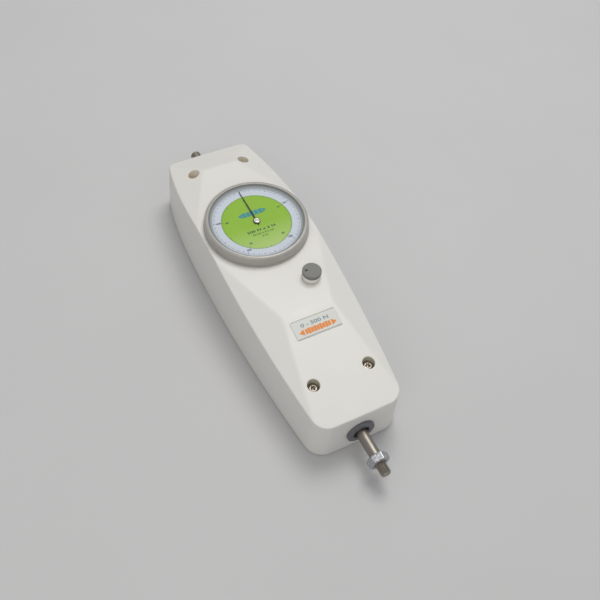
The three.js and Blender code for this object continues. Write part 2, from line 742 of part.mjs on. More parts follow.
function buttonGuide() {
  const outer = circle(0, 0, 6.4, 24);
  const tube = plate(outer, GUIDE_BOTTOM, PLATEAU_Z - WALL, [circle(0, 0, SLEEVE_RADIUS + 0.3, 24)]);
  const floor = plate(outer, GUIDE_BOTTOM, GUIDE_BOTTOM + 0.8, [circle(0, 0, STEM_RADIUS + 0.2, 16)]);
  return tube.add(floor);
}

function stemClip() {
  return plate(circle(0, 0, 2.8, 16), STEM_END_Z + 0.4, GUIDE_BOTTOM - 0.1, [circle(0, 0, STEM_RADIUS + FIT, 16)]);
}

// The rocker under the button: a pad below the stem, a bar over the pivot, and a nose at the ratchet.
function holdLever() {
  const bar = [[10.6, -43], [13.4, -43], [13.4, -18], [5.4, -5.2], [4.3, -6.3], [10.6, -17]];
  const shape = plate(bar.map(([x, y]) => new THREE.Vector2(x, y)), LEVER.bottom, LEVER.top);
  const pad = disc(BUTTON.x, BUTTON.y, 3, LEVER.bottom, LEVER.top, 16);
  const knuckle = leverPivotCylinder(LEVER_PIN_RADIUS + 1.1, 5.6);
  return shape.add(pad).add(knuckle).subtract(leverPivotCylinder(LEVER_PIN_RADIUS + RUNNING_GAP, 12));
}

function leverPivotCylinder(radius, length) {
  const geometry = new THREE.CylinderGeometry(radius, radius, length, 16).rotateZ(Math.PI / 2);
  return solidOf(geometry.translate(BUTTON.x, LEVER.pivotY, (LEVER.bottom + LEVER.top) / 2));
}

function leverBracket() {
  const bottom = UPPER_PLATE.top;
  const [y0, y1] = [LEVER.pivotY - 2, LEVER.pivotY + 2];
  let bracket = plate(rectangle(BUTTON.x - 5, y0, BUTTON.x + 5, y1), bottom, bottom + 0.8);
  for (const x of [BUTTON.x - 5, BUTTON.x + 3.4]) {
    bracket = bracket.add(plate(rectangle(x, y0, x + 1.6, y1), bottom, LEVER.top + 1.3));
  }
  return bracket.subtract(leverPivotCylinder(LEVER_PIN_RADIUS + FIT, 12));
}

// ---------------------------------------------------------------- assembly

const gauge = new THREE.Group();

function add(name, shape, material, x = 0, y = 0, z = 0) {
  const geometry = shape.isBufferGeometry ? shape : geometryOf(shape);
  const mesh = new THREE.Mesh(geometry, material);
  mesh.name = name;
  mesh.position.set(x, y, z);
  gauge.add(mesh);
  return mesh;
}

function addCase() {
  add('front_housing', frontHousing(), ivoryPlastic);
  add('back_cover', backCover(), ivoryPlastic);
  const names = ['front_left', 'front_right', 'rear_left', 'rear_right'];
  screwPlaces().forEach(({ x, y }, i) => {
    add(`case_screw_${names[i]}`, coverScrew(), nickelSteel, x, y);
  });
  insertPlaces().forEach(({ x, y }, i) => {
    add(`mounting_insert_${i + 1}`, mountingInsert(), brass, x, y);
  });
  add('front_bush', rodBush(FLANGE_SEAT_FRONT, -1), darkPlastic);
  add('rear_bush', rodBush(FLANGE_SEAT_REAR, 1), darkPlastic);
  const label = new THREE.BoxGeometry(LABEL.width, LABEL.length, LABEL.thickness);
  const facetZ = PLATEAU_Z - FRONT_SLOPE * (FRONT_HIP.y - LABEL.y);
  const mesh = add('type_label', label, labelFilm, LABEL.x, LABEL.y, facetZ + LABEL.thickness / 2 + 0.13);
  mesh.rotation.x = Math.atan(FRONT_SLOPE);
}

function addRod() {
  add('measuring_rod', measuringRod(), nickelSteel, 0, 0, ROD_Z);
  add('lock_nut', lockNut(), brightChrome, 0, NUT_FRONT_Y + NUT_LENGTH / 2, ROD_Z);
  add('front_collar', rodCollar(FRONT_COLLAR_Y), sheetSteel);
  add('rear_collar', rodCollar(REAR_COLLAR_Y), sheetSteel);
  add('rack', plate(rackOutline(), COLLAR_TOP, RACK_TOP), brass);
}

// Each main spring stands between a frame wall and a collar, with its wire just clear of both.
function addMainSprings() {
  const wire = 0.9;
  const spans = [
    ['front_spring', FRAME_WALL_FRONT_Y + FRAME_WALL_THICKNESS, FRONT_COLLAR_Y, 9],
    ['rear_spring', REAR_COLLAR_Y + COLLAR_LENGTH, FRAME_WALL_REAR_Y, 7],
  ];
  for (const [name, y0, y1, turns] of spans) {
    const end = wire + 0.15;
    const coil = coilSpring(5.4, wire, y1 - y0 - 2 * end, turns);
    const mesh = add(name, coil, springSteel, 0, y0 + end, ROD_Z);
    mesh.rotation.x = -Math.PI / 2;
  }
}

function addFrame() {
  add('chassis_plate', chassisPlate(), sheetSteel);
  add('front_frame_wall', frameWall(FRAME_WALL_FRONT_Y), sheetSteel);
  add('rear_frame_wall', frameWall(FRAME_WALL_REAR_Y), sheetSteel);
  const spindleHole = circle(SPINDLE_X, SPINDLE_Y, SPINDLE_RADIUS + RUNNING_GAP, 16);
  const arborFootHole = circle(0, 0, ARBOR_FOOT_RADIUS + RUNNING_GAP, 16);
  const arborHole = circle(0, 0, ARBOR_RADIUS + RUNNING_GAP, 16);
  const stemHole = circle(BUTTON.x, BUTTON.y, 4, 20);
  add('lower_movement_plate', movementPlate(LOWER_PLATE, [spindleHole, arborFootHole]), brass);
  add('upper_movement_plate', movementPlate(UPPER_PLATE, [spindleHole, arborHole, stemHole]), brass);
  PILLARS.forEach(([x, y], i) => {
    add(`lower_pillar_${i + 1}`, pillar(CHASSIS_TOP, LOWER_PLATE.bottom, 0), nickelSteel, x, y);
    add(`upper_pillar_${i + 1}`, pillar(LOWER_PLATE.top, UPPER_PLATE.bottom, 0.5), nickelSteel, x, y);
  });
}

function addGears() {
  add('gear_spindle', gearSpindle(), nickelSteel);
  add('rack_pinion', onSpindle(gearOutline(RACK_PINION_TEETH, 0), COLLAR_TOP + 0.3, RACK_TOP + 0.5), brass);
  add('drive_wheel', onSpindle(gearOutline(DRIVE_WHEEL_TEETH, towardsArbor), 25.8, 27.2), brass);
  const pinion = plate(gearOutline(CENTRE_PINION_TEETH, towardsArbor + Math.PI + halfPinionStep), 25.4, 27.6);
  add('centre_pinion', pinion.subtract(disc(0, 0, ARBOR_RADIUS + FIT, 20, 30, 16)), brass);
  add('centre_arbor', centreArbor(), nickelSteel);
  const ratchet = plate(ratchetOutline(), LEVER.bottom + 0.1, LEVER.top - 0.1);
  add('ratchet_wheel', ratchet.subtract(disc(0, 0, ARBOR_RADIUS + FIT, 30, 40, 16)), brass);
}

function addDial() {
  add('bezel', bezelRing(), bezelGrey);
  add('dial_plate', dialPlate(), dialGreen);
  add('dial_lens', disc(0, 0, LENS_RADIUS, LENS_BOTTOM, LENS_TOP, 48), clearLens);
  add('bezel_retainer', bezelRetainer(), sheetSteel);
  for (let i = 0; i < 3; i += 1) {
    const { x, y } = retainerScrewPlace(i);
    add(`retainer_screw_${i + 1}`, retainerScrew(), nickelSteel, x, y);
  }
  add('pointer', pointerBlade(), pointerBlack);
  add('pointer_hub', pointerHub(), nickelSteel);
}

function addButton() {
  const { x, y } = BUTTON;
  add('button_cap', buttonCap(), greyPlastic, x, y);
  add('button_sleeve', buttonSleeve(), ivoryPlastic, x, y);
  add('button_stem', buttonStem(), nickelSteel, x, y);
  add('button_guide', buttonGuide(), darkPlastic, x, y);
  add('stem_clip', stemClip(), springSteel, x, y);
  add('button_spring', coilSpring(2.55, 0.3, 6, 5), springSteel, x, y, 36.55);
  add('hold_lever', holdLever(), sheetSteel);
  add('lever_pin', leverPivotCylinder(LEVER_PIN_RADIUS, 11), nickelSteel);
  add('lever_bracket', leverBracket(), sheetSteel);
}

addCase();
addRod();
addMainSprings();
addFrame();
addGears();
addDial();
addButton();

export default gauge;
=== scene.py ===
"""Analogue push-pull force gauge: fine pieces, finishes, floor, light and camera.

Constants and profiles are in millimetres, as in the CAD. MM turns them into metres when a mesh
is made. +Y is the top of the dial, +Z comes out of the dial, and the back lies on z = 0.
"""

import json
import math

import bmesh
import bpy
from mathutils import Matrix, Vector, geometry


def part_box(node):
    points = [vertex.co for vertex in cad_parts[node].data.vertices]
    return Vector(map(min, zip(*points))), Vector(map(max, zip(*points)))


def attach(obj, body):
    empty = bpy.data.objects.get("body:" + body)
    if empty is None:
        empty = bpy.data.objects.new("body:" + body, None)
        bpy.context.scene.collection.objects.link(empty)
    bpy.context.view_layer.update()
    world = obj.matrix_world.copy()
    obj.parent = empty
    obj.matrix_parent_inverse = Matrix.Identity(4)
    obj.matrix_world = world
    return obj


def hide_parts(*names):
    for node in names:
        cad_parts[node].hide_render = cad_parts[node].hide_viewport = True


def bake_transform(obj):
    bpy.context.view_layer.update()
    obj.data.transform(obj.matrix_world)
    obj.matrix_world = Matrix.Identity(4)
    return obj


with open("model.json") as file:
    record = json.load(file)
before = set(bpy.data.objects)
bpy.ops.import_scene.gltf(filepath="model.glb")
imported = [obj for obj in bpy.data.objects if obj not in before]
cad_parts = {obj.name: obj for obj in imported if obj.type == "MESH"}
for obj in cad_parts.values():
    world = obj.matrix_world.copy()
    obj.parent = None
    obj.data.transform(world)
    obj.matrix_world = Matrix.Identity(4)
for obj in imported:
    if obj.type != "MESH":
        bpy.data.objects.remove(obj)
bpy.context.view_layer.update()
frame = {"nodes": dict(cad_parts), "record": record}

MM = 0.001

# ---------------- dimensions

FRONT_Y = -128.95
REAR_Y = 75.3
WIDEST_Y = -8.0
HALF_WIDTH = 33.65
HALF_WIDTH_FRONT = 25.75
HALF_WIDTH_REAR = 26.2
FRONT_CORNER = 9.0
REAR_CORNER = 5.0
END_BOW = 0.5
DRAFT = 0.04
PLATEAU_Z = 40.0
SKIRT_Z = 0.6
WALL = 2.6
TOP_FILLET = 0.7
CREASE_BLEND = 0.45

FRONT_HIP = (15.0, -64.2)
FRONT_SLOPE = 0.18
FRONT_CREASE_END_X = 26.45
FRONT_SIDE_BREAK_Y = -6.95
REAR_HIP = (11.0, 53.3)
REAR_SLOPE = 0.41
REAR_CREASE_END_X = 29.0
REAR_SIDE_BREAK_Y = 8.4
# Each end of the top: its hip, slope along y, end station, and where two of its creases end.
TOP_ENDS = (
    (FRONT_HIP, FRONT_SLOPE, FRONT_Y, FRONT_CREASE_END_X, FRONT_SIDE_BREAK_Y),
    (REAR_HIP, -REAR_SLOPE, REAR_Y, REAR_CREASE_END_X, REAR_SIDE_BREAK_Y),
)

SCREW_PLACES = {
    "case_screw_front_left": (-16.36, -103.7),
    "case_screw_front_right": (16.36, -103.7),
    "case_screw_rear_left": (-16.38, 54.1),
    "case_screw_rear_right": (16.38, 54.1),
}
SCREW_SEAT_Z = 27.7
SCREW_HEAD_TOP = 30.0
SCREW_BORE_RADIUS = 1.8
COUNTERBORE_RADIUS = 3.4
RIM_FILLET = 0.35
BUTTON = (12.0, -45.3)
BUTTON_HOLE_RADIUS = 5.1
# Every hole in the top: x, y, radius, height of its floor, radius of the bore in that floor.
HOLES = [(x, y, COUNTERBORE_RADIUS, SCREW_SEAT_Z, SCREW_BORE_RADIUS) for x, y in SCREW_PLACES.values()]
HOLES.append((*BUTTON, BUTTON_HOLE_RADIUS, PLATEAU_Z - WALL, BUTTON_HOLE_RADIUS))
HOLE_STEPS = 40
# Spacing of the top's mesh: scattered points near creases and holes, and the plain grid.
FINE_SPACING = 0.45
GRID_SPACING = 1.15
GRID_STEP = 1.8
INSERT_NODES = [f"mounting_insert_{number}" for number in range(1, 5)]
INSERT_HOLE_RADIUS = 3.35

ROD_Z = 13.5
ROD_RADIUS = 3.15
NUT_FLAT = 5.25
THREAD_LENGTH = 11.2
THREAD_PITCH = 1.0
THREAD_DEPTH = 0.46
NUT_TURN_DEG = 15.0

DIAL_TOP = 44.0
GREEN_RADIUS = 20.2
BEZEL_SEGMENTS = 160
LABEL_SIZE = (26.8, 11.0, 0.3)
LABEL_CORNER = 0.7
LABEL_GLUE = 0.12
INK_GAP = 0.02

SQUARE = ((-1, -1), (1, -1), (1, 1), (-1, 1))
SHARP_DEG = 32.0

VIEW_ANGLES = (-32.72, 53.74, 6.99)
VIEW_PLACE = (-0.13882, -0.27166, 0.38756)
VIEW_LENS = 47.93

# ---------------- node trees


class Nodes:
    """Short calls for the nodes of one tree."""

    def __init__(self, tree):
        self.nodes = tree.nodes
        self.links = tree.links

    def node(self, kind, inputs=(), **settings):
        made = self.nodes.new("ShaderNode" + kind)
        for name, value in settings.items():
            setattr(made, name, value)
        for key, value in dict(inputs).items():
            self.plug(made.inputs[key], value)
        return made

    def plug(self, socket, value):
        if isinstance(value, bpy.types.NodeSocket):
            self.links.new(value, socket)
        elif socket.type == "RGBA":
            socket.default_value = (*value, 1.0)
        else:
            socket.default_value = value

    def math(self, operation, *values):
        return self.node("Math", enumerate(values), operation=operation).outputs[0]

    def split(self, place):
        """The three coordinates of a place."""
        return self.node("SeparateXYZ", {0: place}).outputs

    def spread(self, value, low, high, from_low=0.0, from_high=1.0):
        """Maps a value to the span from low to high, clamped."""
        inputs = {0: value, 1: from_low, 2: from_high, 3: low, 4: high}
        return self.node("MapRange", inputs).outputs[0]


class Finish(Nodes):
    """A material on the Principled shader, with short calls for what the finishes share.

    Constant values go on the shader's own sockets. Textures follow the object's coordinates."""

    def __init__(self, name, **constants):
        self.material = bpy.data.materials.new(name)
        self.material.use_nodes = True
        super().__init__(self.material.node_tree)
        self.shader = self.nodes["Principled BSDF"]
        for socket, value in constants.items():
            self.shader.inputs[socket.replace("_", " ")].default_value = value
        self.place = self.node("TexCoord").outputs["Object"]

    def noise(self, size_mm, detail=2.0, place=None, stretch=(1, 1, 1)):
        """Noise from 0 to 1 whose blotches are about size_mm across."""
        where = place or self.place
        if stretch != (1, 1, 1):
            scaled = self.node("VectorMath", {0: where, 1: stretch}, operation="MULTIPLY")
            where = scaled.outputs[0]
        inputs = {"Vector": where, "Scale": 1 / (size_mm * MM), "Detail": detail}
        return self.node("TexNoise", inputs).outputs["Fac"]

    def blend(self, factor, first, second):
        """Mixes two colours."""
        made = self.node("Mix", data_type="RGBA")
        for index, value in ((0, factor), (6, first), (7, second)):
            self.plug(made.inputs[index], value)
        return made.outputs[2]

    def surface(self, colour, roughness, *layers):
        """Plugs in a colour, a roughness and stacked bumps, and gives back the material.

        A layer is a height from 0 to 1 and its real depth in millimetres."""
        below = {}
        for height, depth_mm in layers:
            inputs = {"Height": height, "Distance": depth_mm * MM, **below}
            below = {"Normal": self.node("Bump", inputs).outputs[0]}
        for socket, value in (("Base Color", colour), ("Roughness", roughness), *below.items()):
            self.plug(self.shader.inputs[socket], value)
        return self.material

    def around(self, axis="Z", centre=(0, 0, 0)):
        """The distance from an axis through centre, and the place along it."""
        parts = self.split(self.place)
        along = "XYZ".index(axis)
        squares = []
        for i in range(3):
            if i != along:
                offset = self.math("SUBTRACT", parts[i], centre[i] * MM)
                squares.append(self.math("MULTIPLY", offset, offset))
        return self.math("SQRT", self.math("ADD", *squares)), parts[along]


def shade(colour, factor):
    """A colour made darker or lighter."""
    return tuple(min(1.0, c * factor) for c in colour)


def moulded(name, colour, roughness, grain_mm=0.35, grain_depth=0.012, mottle=0.03, **constants):
    """Injection-moulded plastic: fine spark texture, faint flow marks and handling sheen."""
    finish = Finish(name, **constants)
    flow = finish.noise(28, detail=3, stretch=(1.0, 0.45, 1.0))
    grain = finish.noise(grain_mm, detail=2)
    specks = finish.spread(finish.noise(1.1, detail=4), 0, 1, 0.68, 0.74)
    body = finish.blend(flow, shade(colour, 1 - mottle), shade(colour, 1 + mottle))
    grained = finish.blend(finish.spread(grain, 0, 0.12), body, shade(colour, 0.86))
    speckled = finish.blend(finish.math("MULTIPLY", specks, 0.1), grained, shade(colour, 0.72))
    sheen = finish.spread(finish.noise(14, detail=4), -0.07, 0.07)
    uneven = finish.math("ADD", sheen, finish.spread(grain, -0.04, 0.04))
    return finish.surface(speckled, finish.math("ADD", uneven, roughness),
                          (grain, grain_depth), (finish.noise(6, detail=2), 0.02))


def turned(name, colour, roughness, line_mm=0.09, axis="Z", centre=(0, 0, 0), metallic=1.0):
    """Turned or ground metal: fine rings round an axis, with a few deeper marks."""
    finish = Finish(name, Metallic=metallic)
    radius, along = finish.around(axis, centre)
    place = finish.node("CombineXYZ", {0: radius, 2: along}).outputs[0]
    rings = finish.noise(line_mm, detail=3, place=place)
    broad = finish.noise(1.6, detail=2, place=place)
    stains = finish.noise(7, detail=4)
    body = finish.blend(finish.spread(rings, 0, 0.5), shade(colour, 1.06), shade(colour, 0.8))
    stained = finish.blend(finish.spread(stains, 0, 0.3, 0.45, 0.75), body, shade(colour, 0.7))
    uneven = finish.math("ADD", finish.spread(rings, -0.08, 0.1), finish.spread(stains, -0.05, 0.08))
    return finish.surface(stained, finish.math("ADD", uneven, roughness), (rings, 0.003), (broad, 0.006))


def rolled(name, colour, roughness, along=(1.0, 0.04, 1.0)):
    """Sheet metal: rolling lines one way, plating blotches and a few scratches."""
    finish = Finish(name, Metallic=1.0)
    lines = finish.noise(0.12, detail=3, stretch=along)
    blotch = finish.noise(9, detail=5)
    scratch = finish.spread(finish.noise(1.3, detail=1, stretch=(0.15, 1.0, 1.0)), 0, 1, 0.72, 0.76)
    body = finish.blend(finish.spread(lines, 0, 0.5), shade(colour, 1.05), shade(colour, 0.82))
    worn = finish.blend(finish.spread(blotch, 0, 0.35, 0.5, 0.8), body, shade(colour, 0.65))
    scratched = finish.blend(finish.math("MULTIPLY", scratch, 0.4), worn, shade(colour, 1.3))
    uneven = finish.math("ADD", finish.spread(blotch, -0.1, 0.12), roughness)
    return finish.surface(scratched, uneven, (lines, 0.004), (scratch, 0.008))


def zinc_plating():
    """Bright zinc on a forged nut: a mottled, slightly pitted coat."""
    finish = Finish("nut_plating", Metallic=0.85)
    mottle = finish.noise(0.7, detail=4)
    patch = finish.spread(mottle, 0, 1, 0.38, 0.62)
    tone = finish.blend(patch, (0.24, 0.25, 0.27), (0.66, 0.67, 0.70))
    return finish.surface(tone, finish.spread(mottle, 0.34, 0.52), (mottle, 0.07))


def dial_print():
    """Printed dial sheet: white scale ring, fine dark line, and a green centre, with a painted
    reflection of lens haze that makes the green paler at its foot.
    """
    finish = Finish("dial_sheet", Specular_IOR_Level=0.15)
    radius, _ = finish.around()
    inside = finish.math("LESS_THAN", radius, GREEN_RADIUS * MM)
    line = finish.math("COMPARE", radius, GREEN_RADIUS * MM, 0.13 * MM)
    # Painted reflection: the green turns paler towards its foot, standing in for the haze reflected in
    # the lens there.
    fade = finish.spread(finish.split(finish.place)[1], 1, 0, -21 * MM, -2 * MM)
    fibre = finish.noise(0.25, detail=3)
    tone = finish.noise(9, detail=3)
    green = finish.blend(fade, (0.335, 0.585, 0.042), (0.53, 0.71, 0.23))
    white = finish.blend(tone, (0.70, 0.74, 0.83), (0.76, 0.79, 0.88))
    sheet = finish.blend(inside, white, green)
    lined = finish.blend(finish.math("MULTIPLY", line, 0.8), sheet, (0.10, 0.17, 0.05))
    fibrous = finish.blend(finish.spread(fibre, 0, 0.10), lined, (0.2, 0.22, 0.18))
    return finish.surface(fibrous, finish.spread(tone, 0.42, 0.6), (fibre, 0.004))


def surround_paint():
    """Pale paint of the slope round the dial, with painted shade from the rim that darkens its top."""
    finish = Finish("surround_paint")
    height = finish.split(finish.place)[2]
    grain = finish.noise(0.3, detail=3)
    # Painted shade: the slope turns dark towards its top, where the bezel rim shades it.
    painted_rim_shade = finish.spread(height, 0, 1, 44.5 * MM, 45.3 * MM)
    body = finish.blend(painted_rim_shade, (0.50, 0.53, 0.56), (0.24, 0.24, 0.23))
    grained = finish.blend(finish.spread(grain, 0, 0.2), body, (0.3, 0.3, 0.3))
    return finish.surface(grained, 0.5, (grain, 0.01))


def printed(name, colour, roughness=0.5):
    """Screen-printing ink, a little uneven where the film is thin."""
    finish = Finish(name, Specular_IOR_Level=0.4)
    film = finish.noise(0.3, detail=4)
    tone = finish.blend(finish.spread(film, 0, 0.35), colour, shade(colour, 1.5))
    uneven = finish.spread(film, roughness - 0.08, roughness + 0.08)
    return finish.surface(tone, uneven, (film, 0.003))


def label_film():
    """Silver label film under a satin laminate, with the metal's fine flake."""
    finish = Finish("label_sheet", Specular_IOR_Level=0.25)
    flake = finish.noise(0.12, detail=2)
    wave = finish.noise(8, detail=2)
    tone = finish.blend(flake, (0.66, 0.67, 0.63), (0.73, 0.735, 0.695))
    return finish.surface(tone, finish.spread(wave, 0.3, 0.46), (flake, 0.002), (wave, 0.02))


def clear_window():
    """Polished clear acrylic: what is behind shows through, and the surface adds its gloss."""
    finish = Finish("dial_window")
    haze = finish.noise(11, detail=4)
    tint = finish.blend(haze, (0.965, 0.975, 0.985), (0.985, 0.99, 0.99))
    clear = finish.node("BsdfTransparent", {"Color": tint})
    gloss_inputs = {"Color": (1, 1, 1), "Roughness": finish.spread(haze, 0.02, 0.07)}
    ripple = finish.node("Bump", {"Height": haze, "Distance": 0.01 * MM})
    gloss = finish.node("BsdfGlossy", gloss_inputs)
    finish.plug(gloss.inputs["Normal"], ripple.outputs[0])
    facing = finish.node("LayerWeight", {"Blend": 0.5}).outputs["Facing"]
    mirror = finish.spread(finish.math("POWER", facing, 5.0), 0.02, 1.0)
    both = finish.node("MixShader", {0: mirror, 1: clear.outputs[0], 2: gloss.outputs[0]})
    finish.plug(finish.nodes["Material Output"].inputs["Surface"], both.outputs[0])
    finish.nodes.remove(finish.shader)
    return finish.material


def floor_cloth():
    """Pale grey backdrop cloth, with a barely visible weave and soft unevenness."""
    finish = Finish("backdrop_cloth", Specular_IOR_Level=0.2)
    weave = finish.noise(0.6, detail=2)
    soft = finish.noise(90, detail=2)
    body = finish.blend(soft, (0.60, 0.60, 0.605), (0.63, 0.63, 0.635))
    woven = finish.blend(finish.spread(weave, 0, 0.12), body, (0.52, 0.52, 0.53))
    return finish.surface(woven, finish.spread(weave, 0.85, 0.95), (weave, 0.03))


FINISHES = {
    "ivory_plastic": moulded("ivory_moulding", (0.785, 0.772, 0.735), 0.42, Specular_IOR_Level=0.45),
    "dark_plastic": moulded("slate_moulding", (0.135, 0.138, 0.155), 0.42, grain_mm=0.25),
    "grey_plastic": moulded("grey_moulding", (0.215, 0.215, 0.20), 0.6, 0.7, 0.06, mottle=0.1),
    "bezel_metal": turned("bezel_paint", (0.46, 0.445, 0.415), 0.36, 0.18, metallic=0.2),
    "dial_print": dial_print(),
    "clear_lens": clear_window(),
    "pointer_black": printed("pointer_paint", (0.012, 0.013, 0.012), 0.4),
    "nickel_steel": turned("ground_rod", (0.33, 0.30, 0.265), 0.41, axis="Y", centre=(0, 0, ROD_Z)),
    "chrome": zinc_plating(),
    "spring_steel": rolled("spring_wire", (0.42, 0.43, 0.44), 0.32, along=(1.0, 1.0, 0.2)),
    "brass": rolled("machined_brass", (0.70, 0.53, 0.24), 0.3),
    "sheet_steel": rolled("plated_sheet", (0.50, 0.51, 0.52), 0.38),
    "label_film": label_film(),
}
STANDING_STEEL = turned("standing_steel", (0.60, 0.58, 0.55), 0.25)

# ---------------- meshes


def node_centre(node):
    """The middle of a CAD node's box, in millimetres."""
    low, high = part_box(node)
    return (low + high) / 2 / MM


def node_span(node, axis):
    """Where a CAD node starts and ends along an axis, in millimetres."""
    low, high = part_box(node)
    return low[axis] / MM, high[axis] / MM


def in_scene(name, data):
    """A new object in the scene, made of some data."""
    made = bpy.data.objects.new(name, data)
    bpy.context.scene.collection.objects.link(made)
    return made


def solid(name, verts, faces):
    """An object from points in millimetres, with its faces pointing out."""
    mesh = bpy.data.meshes.new(name)
    mesh.from_pydata([Vector(v) * MM for v in verts], [], faces)
    work = bmesh.new()
    work.from_mesh(mesh)
    bmesh.ops.remove_doubles(work, verts=work.verts, dist=0.002 * MM)
    bmesh.ops.recalc_face_normals(work, faces=work.faces)
    work.to_mesh(mesh)
    work.free()
    return in_scene(name, mesh)


def piece(name, verts, faces, slot, body, replaced=(), sharp_deg=SHARP_DEG, material=None):
    """A piece in its slot's own finish or another material, smooth but for its sharper edges.

    body may be None, and then the piece is attached to no body."""
    made = solid(name, verts, faces)
    made.data.shade_smooth()
    made.data.set_sharp_from_angle(angle=math.radians(sharp_deg))
    made.data.materials.append(material or FINISHES[slot])
    flat = made.modifiers.new("flat_faces_stay_flat", "WEIGHTED_NORMAL")
    flat.keep_sharp = True
    if body:
        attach(made, body)
    if replaced:
        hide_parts(*replaced)
    return made


def rounded(corners, steps=4):
    """Points of a closed outline, where a corner's third number rounds it with such a radius."""
    points = []
    for i, corner in enumerate(corners):
        here = Vector(corner[:2])
        if len(corner) < 3:
            points.append(here)
            continue
        before = (Vector(corners[i - 1][:2]) - here).normalized()
        after = (Vector(corners[(i + 1) % len(corners)][:2]) - here).normalized()
        half = before.angle(after) / 2
        centre = here + (before + after).normalized() * corner[2] / math.sin(half)
        start = here + before * corner[2] / math.tan(half) - centre
        end = here + after * corner[2] / math.tan(half) - centre
        turn = start.angle_signed(end)
        for k in range(steps + 1):
            angle = -turn * k / steps
            cos, sin = math.cos(angle), math.sin(angle)
            spoke = Vector((start.x * cos - start.y * sin, start.x * sin + start.y * cos))
            points.append(centre + spoke)
    return points


def circle(x, y, radius, count):
    turns = [2 * math.pi * k / count for k in range(count)]
    return [(x + radius * math.cos(turn), y + radius * math.sin(turn)) for turn in turns]


def add_points(verts, points):
    """Adds points to verts, and gives back their numbers."""
    start = len(verts)
    verts.extend(points)
    return list(range(start, len(verts)))


def flat_ring(verts, points, z):
    """Adds points of the plane at a height, and gives back their numbers."""
    return add_points(verts, [(x, y, z) for x, y in points])


def spin(profile, segments, axis="Z", centre=(0.0, 0.0, 0.0)):
    """Points and faces of a profile of (r, h) turned about an axis through centre."""
    verts = []
    rings = []
    for radius, height in profile:
        ring = circle(0, 0, radius, segments if radius > 1e-6 else 1)
        places = [(a, b, height) if axis == "Z" else (a, height, b) for a, b in ring]
        rings.append(add_points(verts, [Vector(place) + Vector(centre) for place in places]))
    return verts, skin(rings)


def band(low, high):
    """Faces between two closed rings of point numbers. Either ring may be a single point."""
    count = max(len(low), len(high))
    faces = []
    for k in range(count):
        n = (k + 1) % count
        if len(low) == 1:
            faces.append((low[0], high[n], high[k]))
        elif len(high) == 1:
            faces.append((low[k], low[n], high[0]))
        else:
            faces.append((low[k], low[n], high[n], high[k]))
    return faces


def skin(rings):
    """Faces between each ring of point numbers and the next."""
    return [face for low, high in zip(rings, rings[1:]) for face in band(low, high)]


def capped(rings):
    """The skin of a stack of rings, closed by its first and last ring."""
    return [rings[0], rings[-1]] + skin(rings)


def turned_piece(name, corners, slot, body, replaced=(), axis="Z", centre=(0, 0, 0), segments=96,
                 material=None):
    """A turned piece. The profile closes on itself unless it starts and ends on the axis."""
    profile = rounded(corners)
    if profile[0][0] > 1e-6:
        profile.append(profile[0].copy())
    verts, faces = spin(profile, segments, axis, centre)
    return piece(name, verts, faces, slot, body, replaced, material=material)


def evaluated_mesh(target):
    """A new mesh of an object as its modifiers or its text leave it."""
    bpy.context.view_layer.update()
    shown = target.evaluated_get(bpy.context.evaluated_depsgraph_get())
    return bpy.data.meshes.new_from_object(shown)


def cut(target, tool):
    """Takes the tool's shape out of the target, and removes the tool."""
    modifier = target.modifiers.new("cut", "BOOLEAN")
    modifier.operation = "DIFFERENCE"
    modifier.solver = "EXACT"
    modifier.object = tool
    mesh = evaluated_mesh(target)
    target.modifiers.remove(modifier)
    mesh.name = target.data.name
    target.data = mesh
    mesh.set_sharp_from_angle(angle=math.radians(SHARP_DEG))
    bpy.data.objects.remove(tool)


# ---------------- case


def half_width_at(y):
    """Half the width of the case's foot at a station y."""
    if y < WIDEST_Y:
        t = (WIDEST_Y - y) / (WIDEST_Y - FRONT_Y)
        return HALF_WIDTH - (HALF_WIDTH - HALF_WIDTH_FRONT) * t**2
    t = (y - WIDEST_Y) / (REAR_Y - WIDEST_Y)
    return HALF_WIDTH - (HALF_WIDTH - HALF_WIDTH_REAR) * t**3


def outline_point(u, inset):
    """A point on the right half of the plan outline, inset by a distance.

    u runs 0 to 1 over the front end, 1 to 2 round the front corner, 2 to 3 along the side, 3 to 4
    round the rear corner and 4 to 5 over the rear end."""
    if u > 2.5:
        end, radius, sign = REAR_Y - inset, max(REAR_CORNER - inset, 2.0), -1
        corner, straight = 4 - u, u - 4
    else:
        end, radius, sign = FRONT_Y + inset, max(FRONT_CORNER - inset, 2.0), 1
        corner, straight = u - 1, 1 - u
    if 2 <= u <= 3:
        front = FRONT_Y + inset + max(FRONT_CORNER - inset, 2.0)
        rear = REAR_Y - inset - max(REAR_CORNER - inset, 2.0)
        y = front + (rear - front) * (u - 2)
        return half_width_at(y) - inset, y
    if straight > 0:
        x = (half_width_at(end) - inset - radius) * (1 - straight)
        return x, end + sign * END_BOW * (x / HALF_WIDTH) ** 2
    angle = (1 - corner) * math.pi / 2
    y = end + sign * radius * (1 - math.sin(angle))
    x = half_width_at(y) - inset - radius * (1 - math.cos(angle))
    return x, y + sign * END_BOW * (x / HALF_WIDTH) ** 2


def outline_stations():
    """(u, side) of every point round the outline, from the middle of the front end and back."""
    spans = [(0, 1, 10), (1, 2, 12), (2, 3, 96), (3, 4, 12), (4, 5, 10)]
    right = [a + (b - a) * k / count for a, b, count in spans for k in range(count)] + [5.0]
    left = [u for u in reversed(right) if 0 < u < 5]
    return [(u, 1) for u in right] + [(u, -1) for u in left]


STATIONS = outline_stations()


def outline(inset):
    """The plan outline of the case, inset by a distance."""
    points = []
    for u, side in STATIONS:
        x, y = outline_point(u, inset)
        points.append((side * x, y))
    return points


def plane_through(a, b, c):
    """(p, q, r) of the plane z = p x + q y + r through three points."""
    normal = (Vector(b) - Vector(a)).cross(Vector(c) - Vector(a))
    p, q = -normal.x / normal.z, -normal.y / normal.z
    return p, q, a[2] - p * a[0] - q * a[1]


